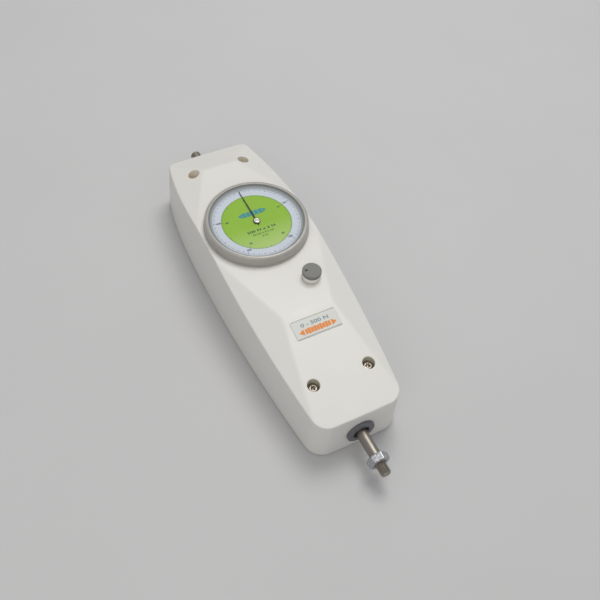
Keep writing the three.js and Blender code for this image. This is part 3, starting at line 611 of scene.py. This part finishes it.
def top_planes():
    """The sloping planes of the top: at each end one in the middle and one beside it."""
    planes = []
    for hip, slope, end_y, crease_x, break_y in TOP_ENDS:
        planes.append((0.0, slope, PLATEAU_Z - slope * hip[1]))
        side_break = (half_width_at(break_y), break_y, PLATEAU_Z)
        crease_end = (crease_x, end_y, PLATEAU_Z + slope * (end_y - hip[1]))
        planes.append(plane_through(side_break, (*hip, PLATEAU_Z), crease_end))
    return planes


TOP_PLANES = top_planes()


def top_height(x, y):
    """Height of the faceted top, with its creases eased."""
    height = PLATEAU_Z
    for p, q, r in TOP_PLANES:
        other = p * abs(x) + q * y + r
        overlap = max(CREASE_BLEND - abs(height - other), 0.0)
        height = min(height, other) - overlap**2 / (4 * CREASE_BLEND)
    return height


def crease_points():
    """Rows of points beside every crease of the top, so that the mesh follows them."""
    creases = [((-hip[0], hip[1]), hip) for hip, *_ in TOP_ENDS]
    for side in (-1, 1):
        for hip, _, end_y, crease_x, break_y in TOP_ENDS:
            start = (side * hip[0], hip[1])
            creases.append((start, (side * crease_x, end_y)))
            creases.append((start, (side * half_width_at(break_y), break_y)))
    points = []
    for offset in (0, 0.5, -0.5, 1.1, -1.1, 1.8, -1.8, 2.6, -2.6):
        for start, end in creases:
            a, b = Vector(start), Vector(end)
            aside = (b - a).orthogonal().normalized() * offset
            count = int((b - a).length / 1.1)
            points += [a.lerp(b, k / count) + aside for k in range(count + 1)]
    return points


class Scatter:
    """Points in the plane that keep a distance from one another, found through square cells."""

    CELL = 2

    def __init__(self):
        self.points = []
        self.cells = {}

    def near(self, x, y, distance):
        i, j = int(x // self.CELL), int(y // self.CELL)
        for di in (-1, 0, 1):
            for dj in (-1, 0, 1):
                for k in self.cells.get((i + di, j + dj), ()):
                    other = self.points[k]
                    if (other[0] - x) ** 2 + (other[1] - y) ** 2 < distance**2:
                        return True
        return False

    def add(self, x, y, distance=0.0):
        if distance and self.near(x, y, distance):
            return
        cell = int(x // self.CELL), int(y // self.CELL)
        self.cells.setdefault(cell, []).append(len(self.points))
        self.points.append((x, y))


def in_hole(x, y, grow):
    """True if a point lies in one of the top's holes, each made wider all round by grow."""
    return any((x - cx) ** 2 + (y - cy) ** 2 < (radius + grow) ** 2 for cx, cy, radius, *_ in HOLES)


def inside_outline(x, y, margin):
    """True if a point lies inside the top's edge by a margin."""
    inset = margin + DRAFT * PLATEAU_Z + TOP_FILLET
    if not FRONT_Y + inset + END_BOW < y < REAR_Y - inset - END_BOW:
        return False
    limit = half_width_at(y) - inset
    for end, radius in ((FRONT_Y, FRONT_CORNER), (REAR_Y, REAR_CORNER)):
        reach = radius - abs(y - end) + inset
        if reach > 0:
            limit -= radius - math.sqrt(max((radius - inset) ** 2 - reach**2, 0.0)) - inset
    return abs(x) < limit


def open_top(x, y):
    """True if a point lies inside the top's edge and clear of its holes."""
    return not in_hole(x, y, RIM_FILLET + 0.3) and inside_outline(x, y, 0.5)


def hole_wall(verts, scatter, cx, cy, radius, floor, bore):
    """Faces of a hole, from its rounded rim down. Its rim and two rings round it join the scatter."""
    for x, y in circle(cx, cy, radius + RIM_FILLET, HOLE_STEPS):
        scatter.add(x, y)
    levels = []
    for step in range(5):
        angle = step / 4 * math.pi / 2
        drop = RIM_FILLET * (1 - math.cos(angle))
        rim = circle(cx, cy, radius + RIM_FILLET * (1 - math.sin(angle)), HOLE_STEPS)
        levels.append(add_points(verts, [(x, y, top_height(x, y) - drop) for x, y in rim]))
    for reach in (radius, bore) if bore < radius else (radius,):
        levels.append(flat_ring(verts, circle(cx, cy, reach, HOLE_STEPS), floor))
    for grow in (1.0, 2.2):
        for x, y in circle(cx, cy, radius + RIM_FILLET + grow, HOLE_STEPS)[::2]:
            scatter.add(x, y, FINE_SPACING)
    return skin(levels)


def fill_plane(verts, faces, flat, height_at, keep):
    """Joins points in the plane by triangles, where keep(x, y) holds in a triangle's middle."""
    places, _, triangles = geometry.delaunay_2d_cdt(flat, [], [], 0, 1e-5)[:3]
    start = len(verts)
    verts.extend((p.x, p.y, height_at(p.x, p.y)) for p in places)
    for triangle in triangles:
        middle = sum((places[k] for k in triangle), Vector((0, 0))) / 3
        if keep(*middle):
            faces.append([start + k for k in triangle])


def front_housing():
    """The moulded shell: faceted top with eased creases, rounded edge, drafted walls and holes."""
    verts = []
    wall_start, wall_rows, edge_rows = SKIRT_Z + 0.35, 8, 7
    rings = []
    for inset, z in ((WALL, 8.0), (WALL, SKIRT_Z + 0.3), (WALL - 0.3, SKIRT_Z),
                     (0.3, SKIRT_Z), (0.1, SKIRT_Z + 0.1), (0.0, wall_start)):
        rings.append(flat_ring(verts, outline(inset + DRAFT * z), z))
    tops = [top_height(x, y) - TOP_FILLET for x, y in outline(DRAFT * PLATEAU_Z)]
    for k in range(1, wall_rows + 1):
        level = []
        for (u, side), top in zip(STATIONS, tops):
            z = wall_start + (top - wall_start) * k / wall_rows
            x, y = outline_point(u, DRAFT * z)
            level.append((side * x, y, z))
        rings.append(add_points(verts, level))
    for k in range(1, edge_rows + 1):
        angle = k / edge_rows * math.pi / 2
        edge = []
        for (u, side), top in zip(STATIONS, tops):
            x, y = outline_point(u, DRAFT * top + TOP_FILLET * (1 - math.cos(angle)))
            edge.append((side * x, y, top_height(x, y) - TOP_FILLET * (1 - math.sin(angle))))
        rings.append(add_points(verts, edge))
    faces = skin(rings)

    scatter = Scatter()
    for x, y, _ in edge:
        scatter.add(x, y)
    for hole in HOLES:
        faces += hole_wall(verts, scatter, *hole)
    for point in crease_points():
        if open_top(point.x, point.y):
            scatter.add(point.x, point.y, FINE_SPACING)
    row_step = GRID_STEP * 0.866
    for j in range(int((REAR_Y - FRONT_Y) / row_step) + 1):
        y = FRONT_Y + j * row_step
        for i in range(-20, 21):
            x = (i + 0.5 * (j % 2)) * GRID_STEP
            if open_top(x, y):
                scatter.add(x, y, GRID_SPACING)
    flat = [Vector(p) for p in scatter.points]
    fill_plane(verts, faces, flat, top_height, lambda x, y: not in_hole(x, y, RIM_FILLET - 0.02))
    shell = piece("shell", verts, faces, "ivory_plastic", "housing", ["front_housing"], 50)
    shell.data.materials.append(hole_finish())
    for polygon in shell.data.polygons:
        x, y, z = polygon.center / MM
        if in_hole(x, y, 0.02) and z < top_height(x, y) - 0.3:
            polygon.material_index = 1
    seat = [(21.0, 39.5), (24.0, 39.5), (24.0, 41.9, 0.3), (21.0, 41.9, 0.3)]
    turned_piece("bezel_seat", seat, "ivory_plastic", "housing")


def back_cover():
    """The flat cover inside the shell's rim, with a soft edge and four countersunk insert holes."""
    verts = []
    levels = []
    for inset, z in ((0, 2.6), (0, 0.5), (0.06, 0.22), (0.22, 0.06), (0.5, 0.0)):
        levels.append(flat_ring(verts, outline(WALL + 0.35 + inset), z))
    faces = skin(levels) + [levels[0]]
    flat = [Vector(verts[k][:2]) for k in levels[-1]]
    centres = [node_centre(node).xy for node in INSERT_NODES]
    for cx, cy in centres:
        flat += [Vector(p) for p in circle(cx, cy, INSERT_HOLE_RADIUS, HOLE_STEPS)]
        wall = []
        for radius, z in ((INSERT_HOLE_RADIUS, 0.0), (3.1, 0.25), (3.1, 2.6)):
            wall.append(flat_ring(verts, circle(cx, cy, radius, HOLE_STEPS), z))
        faces += skin(wall)
    fill_plane(verts, faces, flat, lambda x, y: 0.0, lambda x, y: all(
        (Vector((x, y)) - centre).length > INSERT_HOLE_RADIUS - 0.02 for centre in centres))
    piece("back_plate", verts, faces, "ivory_plastic", "housing", ["back_cover"])


def mounting_inserts():
    corners = [(2.0, 0.55), (2.35, 0.2), (3.0, 0.2, 0.12), (3.0, 3.7), (2.0, 3.7)]
    for node in INSERT_NODES:
        centre = node_centre(node)
        turned_piece(node.removeprefix("mounting_"), corners, "brass", "housing", [node],
                     centre=(centre.x, centre.y, 0), segments=48)


# ---------------- screws, bushes, rod and nut


def screw_finish():
    """Worn nickel plating, patchy where it has dulled."""
    finish = Finish("screw_plating", Metallic=1.0)
    blotch = finish.noise(1.4, detail=4)
    fine = finish.noise(0.15, detail=2)
    tone = finish.blend(blotch, (0.60, 0.55, 0.49), (0.38, 0.33, 0.28))
    return finish.surface(tone, finish.spread(blotch, 0.26, 0.42), (fine, 0.004), (blotch, 0.02))


def hole_finish():
    """Warm plastic on the walls of the holes, with dirt specks; painted light makes the rear pair much
    lighter than the front pair.
    """
    finish = Finish("hole_moulding")
    along = finish.split(finish.place)[1]
    soil = finish.noise(1.5, detail=4)
    # Painted light: the walls of the rear pair are painted much lighter than those of the front pair.
    painted_rear_light = finish.spread(along, 0, 1, -80 * MM, -60 * MM)
    body = finish.blend(painted_rear_light, (0.60, 0.57, 0.46), (0.95, 0.90, 0.79))
    soiled = finish.blend(finish.spread(soil, 0, 0.1), body, (0.40, 0.36, 0.28))
    return finish.surface(soiled, 0.5, (soil, 0.01))


def case_screw(name, x, y, turn_deg, material):
    """A pan-head screw with a cross recess whose wings narrow towards the bottom."""
    top = SCREW_HEAD_TOP
    corners = [(0, 8), (1.1, 8), (1.5, 9), (1.5, SCREW_SEAT_Z), (3.0, SCREW_SEAT_Z, 0.15),
               (3.0, top - 0.75, 0.5), (1.9, top - 0.08, 0.8), (0, top)]
    made = turned_piece(name + "_fine", corners, "nickel_steel", "housing", [name],
                        centre=(x, y, 0), segments=48, material=material)
    centre = Vector((x, y, 0))
    for quarter in range(2):
        angle = math.radians(turn_deg + 90 * quarter)
        along = Vector((math.cos(angle), math.sin(angle), 0))
        across = Vector((-math.sin(angle), math.cos(angle), 0))
        wing = []
        ends = []
        for z, length, width in ((top + 0.3, 1.75, 0.42), (top - 1.25, 0.7, 0.26)):
            corners = [centre + along * a * length + across * b * width for a, b in SQUARE]
            ends.append(add_points(wing, [corner + Vector((0, 0, z)) for corner in corners]))
        cut(made, solid("wing", wing, capped(ends)))


def rod_bush(name, node, outward):
    """A bush whose round flange stands out from the end wall, recessed round the rod."""
    face = node_span(node, 1)[1 if outward > 0 else 0]
    bush = [(3.25, -11.15), (5.2, -11.15), (5.2, -2.15), (8.1, -2.15), (8.1, 0.0, 0.6),
            (4.75, 0.0, 0.1), (4.75, -1.5), (3.25, -1.5)]
    # The seal in the recess round the rod is black rubber, and its black also stands in for the shade in
    # that recess.
    seal = [(3.2, -1.6), (4.7, -1.6), (4.5, -1.3), (3.2, -1.1)]
    black_seal_and_shade = moulded(name + "_rubber", (0.018, 0.018, 0.018), 0.7, Specular_IOR_Level=0.2)
    for suffix, corners, replaced, material in (("", bush, [node], None), ("_seal", seal, (), black_seal_and_shade)):
        placed = [(radius, face + outward * depth, *rest) for radius, depth, *rest in corners]
        turned_piece(name + suffix, placed, "dark_plastic", "housing", replaced, "Y", (0, 0, ROD_Z),
                     material=material)


def rod_ring(y, radius, segments):
    """Points round the rod's axis. radius is a number, or a function of the angle."""
    ring = []
    for k in range(segments):
        angle = 2 * math.pi * k / segments
        reach = radius(angle) if callable(radius) else radius
        ring.append((reach * math.cos(angle), y, ROD_Z + reach * math.sin(angle)))
    return ring


def measuring_rod():
    """The ground rod: a threaded end with a chamfer, a relief behind the thread, a plain shank."""
    tip, rear = node_span("measuring_rod", 1)
    thread_end = tip + THREAD_LENGTH
    segments = 72

    def threaded(y):
        """The radius at each angle of a station y, on a right-hand thread that fades at its ends."""
        fade = max(0.0, min(1.0, (y - tip) / 0.9, (thread_end - y) / 1.2))
        crest = min(ROD_RADIUS - 0.2, 2.3 + (y - tip) * 0.9)

        def radius(angle):
            phase = ((y - tip) / THREAD_PITCH + angle / (2 * math.pi)) % 1.0
            tooth = min(1.0, max(0.0, 2.6 * abs(phase - 0.5) - 0.15))
            return crest - THREAD_DEPTH * (1 - tooth) * fade

        return radius

    verts = []
    rings = [add_points(verts, [(0, tip, ROD_Z)])]
    rows = int(THREAD_LENGTH / THREAD_PITCH * 9)
    for row in range(rows + 1):
        y = tip + THREAD_LENGTH * row / rows
        rings.append(add_points(verts, rod_ring(y, threaded(y), segments)))
    for y, radius in ((thread_end + 0.25, ROD_RADIUS - 0.05), (thread_end + 0.5, ROD_RADIUS),
                      (rear - 0.7, ROD_RADIUS), (rear - 0.2, ROD_RADIUS - 0.35),
                      (rear, ROD_RADIUS - 0.6)):
        rings.append(add_points(verts, rod_ring(y, radius, segments)))
    rings.append(add_points(verts, [(0, rear, ROD_Z)]))
    piece("rod", verts, skin(rings), "nickel_steel", "rod", ["measuring_rod"], 40)


def lock_nut():
    """A hexagonal nut: chamfered corners, eased edges, and a countersunk bore."""
    start, end = node_span("lock_nut", 1)
    middle, half = (start + end) / 2, (end - start) / 2
    first_flat = math.radians(NUT_TURN_DEG - 30)

    def hexagon(limit):
        def radius(angle):
            from_flat = (angle - first_flat + math.pi / 6) % (math.pi / 3) - math.pi / 6
            return min(NUT_FLAT / math.cos(from_flat), limit)

        return radius

    chamfer = [(-half, 4.8), (-half, 5.0), (-half + 0.45, 5.95), (-half + 0.8, 5.95)]
    outside = chamfer + [(-y, limit) for y, limit in reversed(chamfer)]
    levels = [(y, hexagon(limit)) for y, limit in outside]
    levels += [(half, 3.6), (half - 0.45, 3.2), (-half + 0.45, 3.2), (-half, 3.6)]
    verts = []
    rings = [add_points(verts, rod_ring(middle + y, radius, 96)) for y, radius in levels]
    piece("nut", verts, skin(rings + rings[:1]), "chrome", "lock_nut", ["lock_nut"], 18)


# ---------------- springs


def coil_spring(name, node, axis, turns, wire):
    """A coil of wire in the place of a CAD spring. axis is 1 for Y or 2 for Z."""
    low, high = (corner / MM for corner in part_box(node))
    centre = (low + high) / 2
    radius = (high.x - low.x) / 2 - wire
    first, second = [i for i in range(3) if i != axis]
    steps = turns * 24
    verts = []
    rings = []
    for step in range(steps + 1):
        share = step / steps
        turn = 2 * math.pi * turns * share
        level = low[axis] + wire + (high[axis] - low[axis] - 2 * wire) * share
        ring = []
        for reach, rise in circle(radius, level, wire, 10):
            point = centre.copy()
            point[first] += reach * math.cos(turn)
            point[second] += reach * math.sin(turn)
            point[axis] = rise
            ring.append(point)
        rings.append(add_points(verts, ring))
    made = piece(name, verts, capped(rings), "spring_steel", None, [node])
    start, end = centre.copy(), centre.copy()
    start[axis], end[axis] = low[axis] + 2 * wire, high[axis] - 2 * wire
    if node == "rear_spring":
        start, end = end, start
    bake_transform(made)


def springs():
    coil_spring("front_coil", "front_spring", 1, 9, 0.9)
    coil_spring("rear_coil", "rear_spring", 1, 7, 0.9)
    coil_spring("button_coil", "button_spring", 2, 5, 0.3)


# ---------------- dial group


def bezel_and_lens():
    """The bezel ring, the slope round the dial, the lens and the dial sheet."""
    ring = [(24.4, 40.5, 0.2), (30.3, 40.5, 0.15), (30.3, 41.15, 0.2), (29.95, 41.3),
            (29.85, 46.4, 1.8), (27.75, 46.4, 0.2), (27.5, 46.15), (27.5, 44.1), (27.05, 44.1),
            (27.05, 41.5), (24.4, 41.5)]
    turned_piece("bezel_ring", ring, "bezel_metal", "bezel", ["bezel"], segments=BEZEL_SEGMENTS)
    slope = [(27.5, 45.38), (26.9, 45.38, 0.15), (25.3, 44.12), (27.5, 44.1)]
    turned_piece("dial_surround", slope, "bezel_metal", "bezel", segments=BEZEL_SEGMENTS,
                 material=surround_paint())
    lens = [(0, 45.4), (27.5, 45.4), (27.5, 46.12), (0, 46.12)]
    turned_piece("lens", lens, "clear_lens", "bezel", ["dial_lens"], segments=128)
    sheet = [(1.8, 43.6), (26.9, 43.6), (26.9, DIAL_TOP), (1.8, DIAL_TOP, 0.1)]
    turned_piece("dial_sheet", sheet, "dial_print", "bezel", ["dial_plate"], segments=128)


def flat_marks(name, shapes, z, ink, slot, body, tilt=Matrix.Identity(4)):
    """Flat printed shapes, each a list of (x, y) corners, joined in one piece at a height."""
    verts = []
    faces = []
    for shape in shapes:
        faces.append(add_points(verts, [tilt @ Vector((x, y, z)) for x, y in shape]))
    piece(name, verts, faces, slot, body, material=ink)


def bar(x, y, width, height, turn=0.0):
    """A rectangle centred on (x, y), turned about the origin."""
    cos, sin = math.cos(turn), math.sin(turn)
    points = [(x + a * width / 2, y + b * height / 2) for a, b in SQUARE]
    return [(px * cos - py * sin, px * sin + py * cos) for px, py in points]


def arrow_heads(x, y, tip, base, half_width):
    """Two triangles that point away from (x, y), to the left and to the right."""
    heads = []
    for side in (-1, 1):
        foot = x + side * base
        heads.append([(x + side * tip, y), (foot, y + side * half_width), (foot, y - side * half_width)])
    return heads


def ticks(count, outer, kinds):
    """Marks round the dial. A kind is (every how many, length, width), and later kinds win."""
    marks = []
    for k in range(count):
        length, width = [kind[1:] for kind in kinds if k % kind[0] == 0][-1]
        marks.append(bar(0, outer - length / 2, width, length, -2 * math.pi * k / count))
    return marks


def lettering(name, words, z, ink, slot, body, tilt=Matrix.Identity(4)):
    """Printed figures: (text, x, y, height, how wide, boldness) each, joined in one piece."""
    joined = bmesh.new()
    for text, x, y, height, stretch, bold in words:
        curve = bpy.data.curves.new("words", "FONT")
        curve.body = text
        curve.size = height * 1.42
        curve.align_x = "CENTER"
        curve.align_y = "CENTER"
        curve.offset = bold
        curve.resolution_u = 3
        shown = in_scene("words", curve)
        mesh = evaluated_mesh(shown)
        mesh.transform(tilt @ Matrix.Translation((x, y, z)) @ Matrix.Diagonal((stretch, 1, 1, 1)))
        joined.from_mesh(mesh)
        bpy.data.objects.remove(shown)
        bpy.data.curves.remove(curve)
        bpy.data.meshes.remove(mesh)
    joined.verts.index_update()
    verts = [v.co.copy() for v in joined.verts]
    faces = [[v.index for v in f.verts] for f in joined.faces]
    joined.free()
    piece(name, verts, faces, slot, body, material=ink)


def dial_markings():
    """Scale ticks and figures on the white ring and the green centre, and plain marks between."""
    z = DIAL_TOP + INK_GAP
    black = printed("scale_ink", (0.02, 0.025, 0.035))
    fine = ticks(250, 24.9, ((1, 0.75, 0.08), (5, 1.3, 0.16), (25, 1.5, 0.24)))
    fine += ticks(100, 20.0, ((1, 0.6, 0.1), (10, 1.1, 0.2)))
    flat_marks("scale_ticks", fine, z, black, "dial_print", "bezel")
    figures = []
    for k in range(5):
        angle = 2 * math.pi * k / 5
        for radius, value in ((21.8, 100 * k), (17.0, 10 * k)):
            x, y = radius * math.sin(angle), radius * math.cos(angle)
            figures.append((str(value), x, y, 1.3, 1.0, 0.05))
    lettering("scale_figures", figures, z, black, "dial_print", "bezel")
    blocks = arrow_heads(0.2, 6.7, 8.8, 6.5, 1.7)
    blocks += [bar(0.2 + 2.55 * k, 6.7, 2.2, 3.4) for k in range(-2, 3)]
    blue = printed("blue_ink", (0.03, 0.27, 0.32))
    flat_marks("direction_mark", blocks, z, blue, "dial_print", "bezel")
    lines = [("500 N x 2 N", 0.0, -6.4, 1.6, 1.5, 0.07),
             ("50 kgf x 0.2 kgf", 0.0, -9.0, 1.15, 1.3, 0.03),
             ("2 N", 0.0, -11.2, 1.05, 1.6, 0.03)]
    dark = printed("dark_green_ink", (0.03, 0.075, 0.03))
    lettering("range_figures", lines, z, dark, "dial_print", "bezel")


def pointer():
    """The tapered blade with its boss, and the turned hub that holds it."""
    tail, tip = node_span("pointer", 1)
    rim = [(0.5, tail), (0.55, 0.0), (0.14, tip - 0.2), (0.0, tip)]
    rim += [(-x, y) for x, y in reversed(rim[:-1])]
    verts = []
    levels = []
    for z, shrink in ((44.4, 0.0), (44.58, 0.0), (44.65, 0.06)):
        levels.append(add_points(verts, [
            (math.copysign(max(abs(x) - shrink, 0.0), x), y, z) for x, y in rim]))
    piece("pointer_blade", verts, capped(levels), "pointer_black", "pointer", ["pointer"])
    boss = [(1.1, 44.4), (2.1, 44.4), (2.1, 44.65, 0.05), (1.1, 44.65)]
    turned_piece("pointer_boss", boss, "pointer_black", "pointer", segments=48)
    hub = [(0, 44.9), (1.1, 44.9), (1.1, 44.65), (1.85, 44.65), (1.85, 45.05, 0.12),
           (1.35, 45.2, 0.1), (0.62, 45.2, 0.06), (0.5, 44.97), (0, 44.97)]
    turned_piece("hub", hub, "nickel_steel", "pointer", ["pointer_hub"], segments=64,
                 material=turned("hub_metal", (0.58, 0.54, 0.49), 0.34, 0.12))


# ---------------- button and label


def button():
    """The grey cap with its dimple, and the ivory sleeve under it."""
    x, y = BUTTON
    bottom, top = node_span("button_cap", 2)
    corners = [(0, bottom), (5.25, bottom, 0.2), (5.4, bottom + 0.5, 0.1), (5.4, top - 0.35, 0.35),
               (5.0, top - 0.05, 0.5), (0, top)]
    cap = turned_piece("cap", corners, "grey_plastic", "button_cap", ["button_cap"],
                       centre=(x, y, 0))
    dimple = rounded([(0, top - 1.3), (0.6, top - 1.2, 0.2), (0.8, top + 0.5), (0, top + 0.5)])
    cut(cap, solid("dimple", *spin(dimple, 24, "Z", (x - 2.95, y + 1.2, 0))))
    bottom, top = node_span("button_sleeve", 2)
    sleeve = [(3.4, bottom), (5.0, bottom, 0.15), (5.0, top, 0.1), (3.4, top)]
    # Painted light: the sleeve's plastic is lighter than the case's, standing in for light bounced under
    # the cap.
    turned_piece("sleeve", sleeve, "ivory_plastic", "button_slide", ["button_sleeve"],
                 centre=(x, y, 0), segments=72,
                 material=moulded("sleeve_moulding_painted_light", (0.92, 0.90, 0.85), 0.5))


def type_label():
    """The silver label: rounded corners, thin frame, grey range line and orange two-way arrow."""
    facet = Matrix.Rotation(math.atan(FRONT_SLOPE), 4, "X")
    tilt = Matrix.Translation(node_centre("type_label")) @ facet
    width, length, thickness = LABEL_SIZE
    top = thickness / 2
    rim = rounded([(a * width / 2, b * length / 2, LABEL_CORNER) for a, b in SQUARE], 5)
    verts = []
    levels = []
    for z, scale in ((-top - LABEL_GLUE, 1.0), (top - 0.05, 1.0), (top, 0.996)):
        levels.append(add_points(verts, [tilt @ Vector((x * scale, y * scale, z)) for x, y in rim]))
    piece("label_sheet", verts, capped(levels), "label_film", "housing", ["type_label"])
    z = top + INK_GAP
    frame_bars = [bar(0, side * 5.1, 25.9, 0.3) for side in (1, -1)]
    frame_bars += [bar(side * 12.8, 0, 0.3, 10.5) for side in (1, -1)]
    pale = printed("label_frame_ink", (0.66, 0.67, 0.635))
    flat_marks("label_frame", frame_bars, z, pale, "label_film", "housing", tilt)
    words = [("0 - 500 N", -0.3, 1.6, 2.0, 1.5, 0.08)]
    grey = printed("label_grey_ink", (0.22, 0.27, 0.31))
    lettering("label_figures", words, z, grey, "label_film", "housing", tilt)
    marks = arrow_heads(0, -2.2, 11.2, 8.2, 1.85)
    marks += [bar(-6.8 + 1.7 * k, -2.2, 1.5, 3.3 if k % 2 else 2.8) for k in range(9)]
    orange = printed("label_orange_ink", (0.78, 0.235, 0.03))
    flat_marks("label_arrows", marks, z, orange, "label_film", "housing", tilt)


# ---------------- CAD nodes, stage, light, camera


def finish_cad_nodes():
    """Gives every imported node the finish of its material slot."""
    standing = ("gear_spindle", "centre_arbor", "button_stem", "pillar", "retainer_screw")
    for entry in frame["record"]["subparts"]:
        node = frame["nodes"][entry["node"]]
        material = FINISHES[entry["material_slot"]]
        if any(word in entry["node"] for word in standing):
            material = STANDING_STEEL
        node.data.materials.clear()
        node.data.materials.append(material)


def stage():
    """The backdrop cloth, as wide as a room."""
    half = 1500
    mesh = bpy.data.meshes.new("floor")
    mesh.from_pydata([Vector((a * half, b * half, 0)) * MM for a, b in SQUARE], [], [(0, 1, 2, 3)])
    mesh.materials.append(floor_cloth())
    in_scene("floor", mesh)


def soft_light(name, place, size, watts, colour):
    """A square softbox at a place in metres, aimed at the foot of the case."""
    lamp = bpy.data.lights.new(name, "AREA")
    lamp.size = size
    lamp.energy = watts
    lamp.color = colour
    made = in_scene(name, lamp)
    made.location = place
    towards = Vector((0, -0.03, 0)) - Vector(place)
    made.rotation_euler = towards.to_track_quat("-Z", "Y").to_euler()


def studio_world():
    """Even light from all round, but darker low down behind, where the room is unlit."""
    world = bpy.data.worlds.new("studio")
    world.use_nodes = True
    tree = Nodes(world.node_tree)
    background = tree.nodes["Background"]
    tree.plug(background.inputs["Color"], (0.97, 0.985, 1.0))
    parts = tree.split(tree.node("TexCoord").outputs["Generated"])
    behind = tree.spread(parts[1], 0, 1, 0.30, 0.46)
    low = tree.spread(parts[2], 0, 1, 0.50, 0.30)
    strength = tree.spread(tree.math("MULTIPLY", behind, low), 0.45, 0.18)
    tree.plug(background.inputs["Strength"], strength)
    bpy.context.scene.world = world


def lighting():
    studio_world()
    soft_light("overhead", (0.31, 0.28, 1.08), 0.56, 5.9, (1.0, 0.985, 0.96))
    soft_light("fill", (-0.52, -0.5, 0.58), 0.5, 0.95, (1.0, 0.93, 0.85))
    bpy.context.scene.view_settings.view_transform = "Standard"


def camera():
    """The view: azimuth and elevation of the camera, and its roll about the line of sight."""
    azimuth, elevation, roll = (math.radians(angle) for angle in VIEW_ANGLES)
    away = math.cos(elevation)
    back = Vector((math.sin(azimuth) * away, -math.cos(azimuth) * away, math.sin(elevation)))
    level = (-back).cross(Vector((0, 0, 1))).normalized()
    upright = level.cross(-back)
    side = level * math.cos(roll) + upright * math.sin(roll)
    top = upright * math.cos(roll) - level * math.sin(roll)
    data = bpy.data.cameras.new("view")
    data.lens = VIEW_LENS
    data.sensor_width = 36.0
    data.clip_start = 0.01
    made = in_scene("view", data)
    turn = Matrix((side, top, back)).transposed().to_4x4()
    made.matrix_world = Matrix.Translation(VIEW_PLACE) @ turn
    bpy.context.scene.camera = made


def main():
    camera()
    lighting()
    stage()
    finish_cad_nodes()
    front_housing()
    back_cover()
    mounting_inserts()
    screw_material = screw_finish()
    for turn_deg, (name, (x, y)) in zip((20, 65, 40, 5), SCREW_PLACES.items()):
        case_screw(name, x, y, turn_deg, screw_material)
    rod_bush("front_flange", "front_bush", -1)
    rod_bush("rear_flange", "rear_bush", 1)
    measuring_rod()
    lock_nut()
    springs()
    bezel_and_lens()
    dial_markings()
    pointer()
    button()
    type_label()


main()
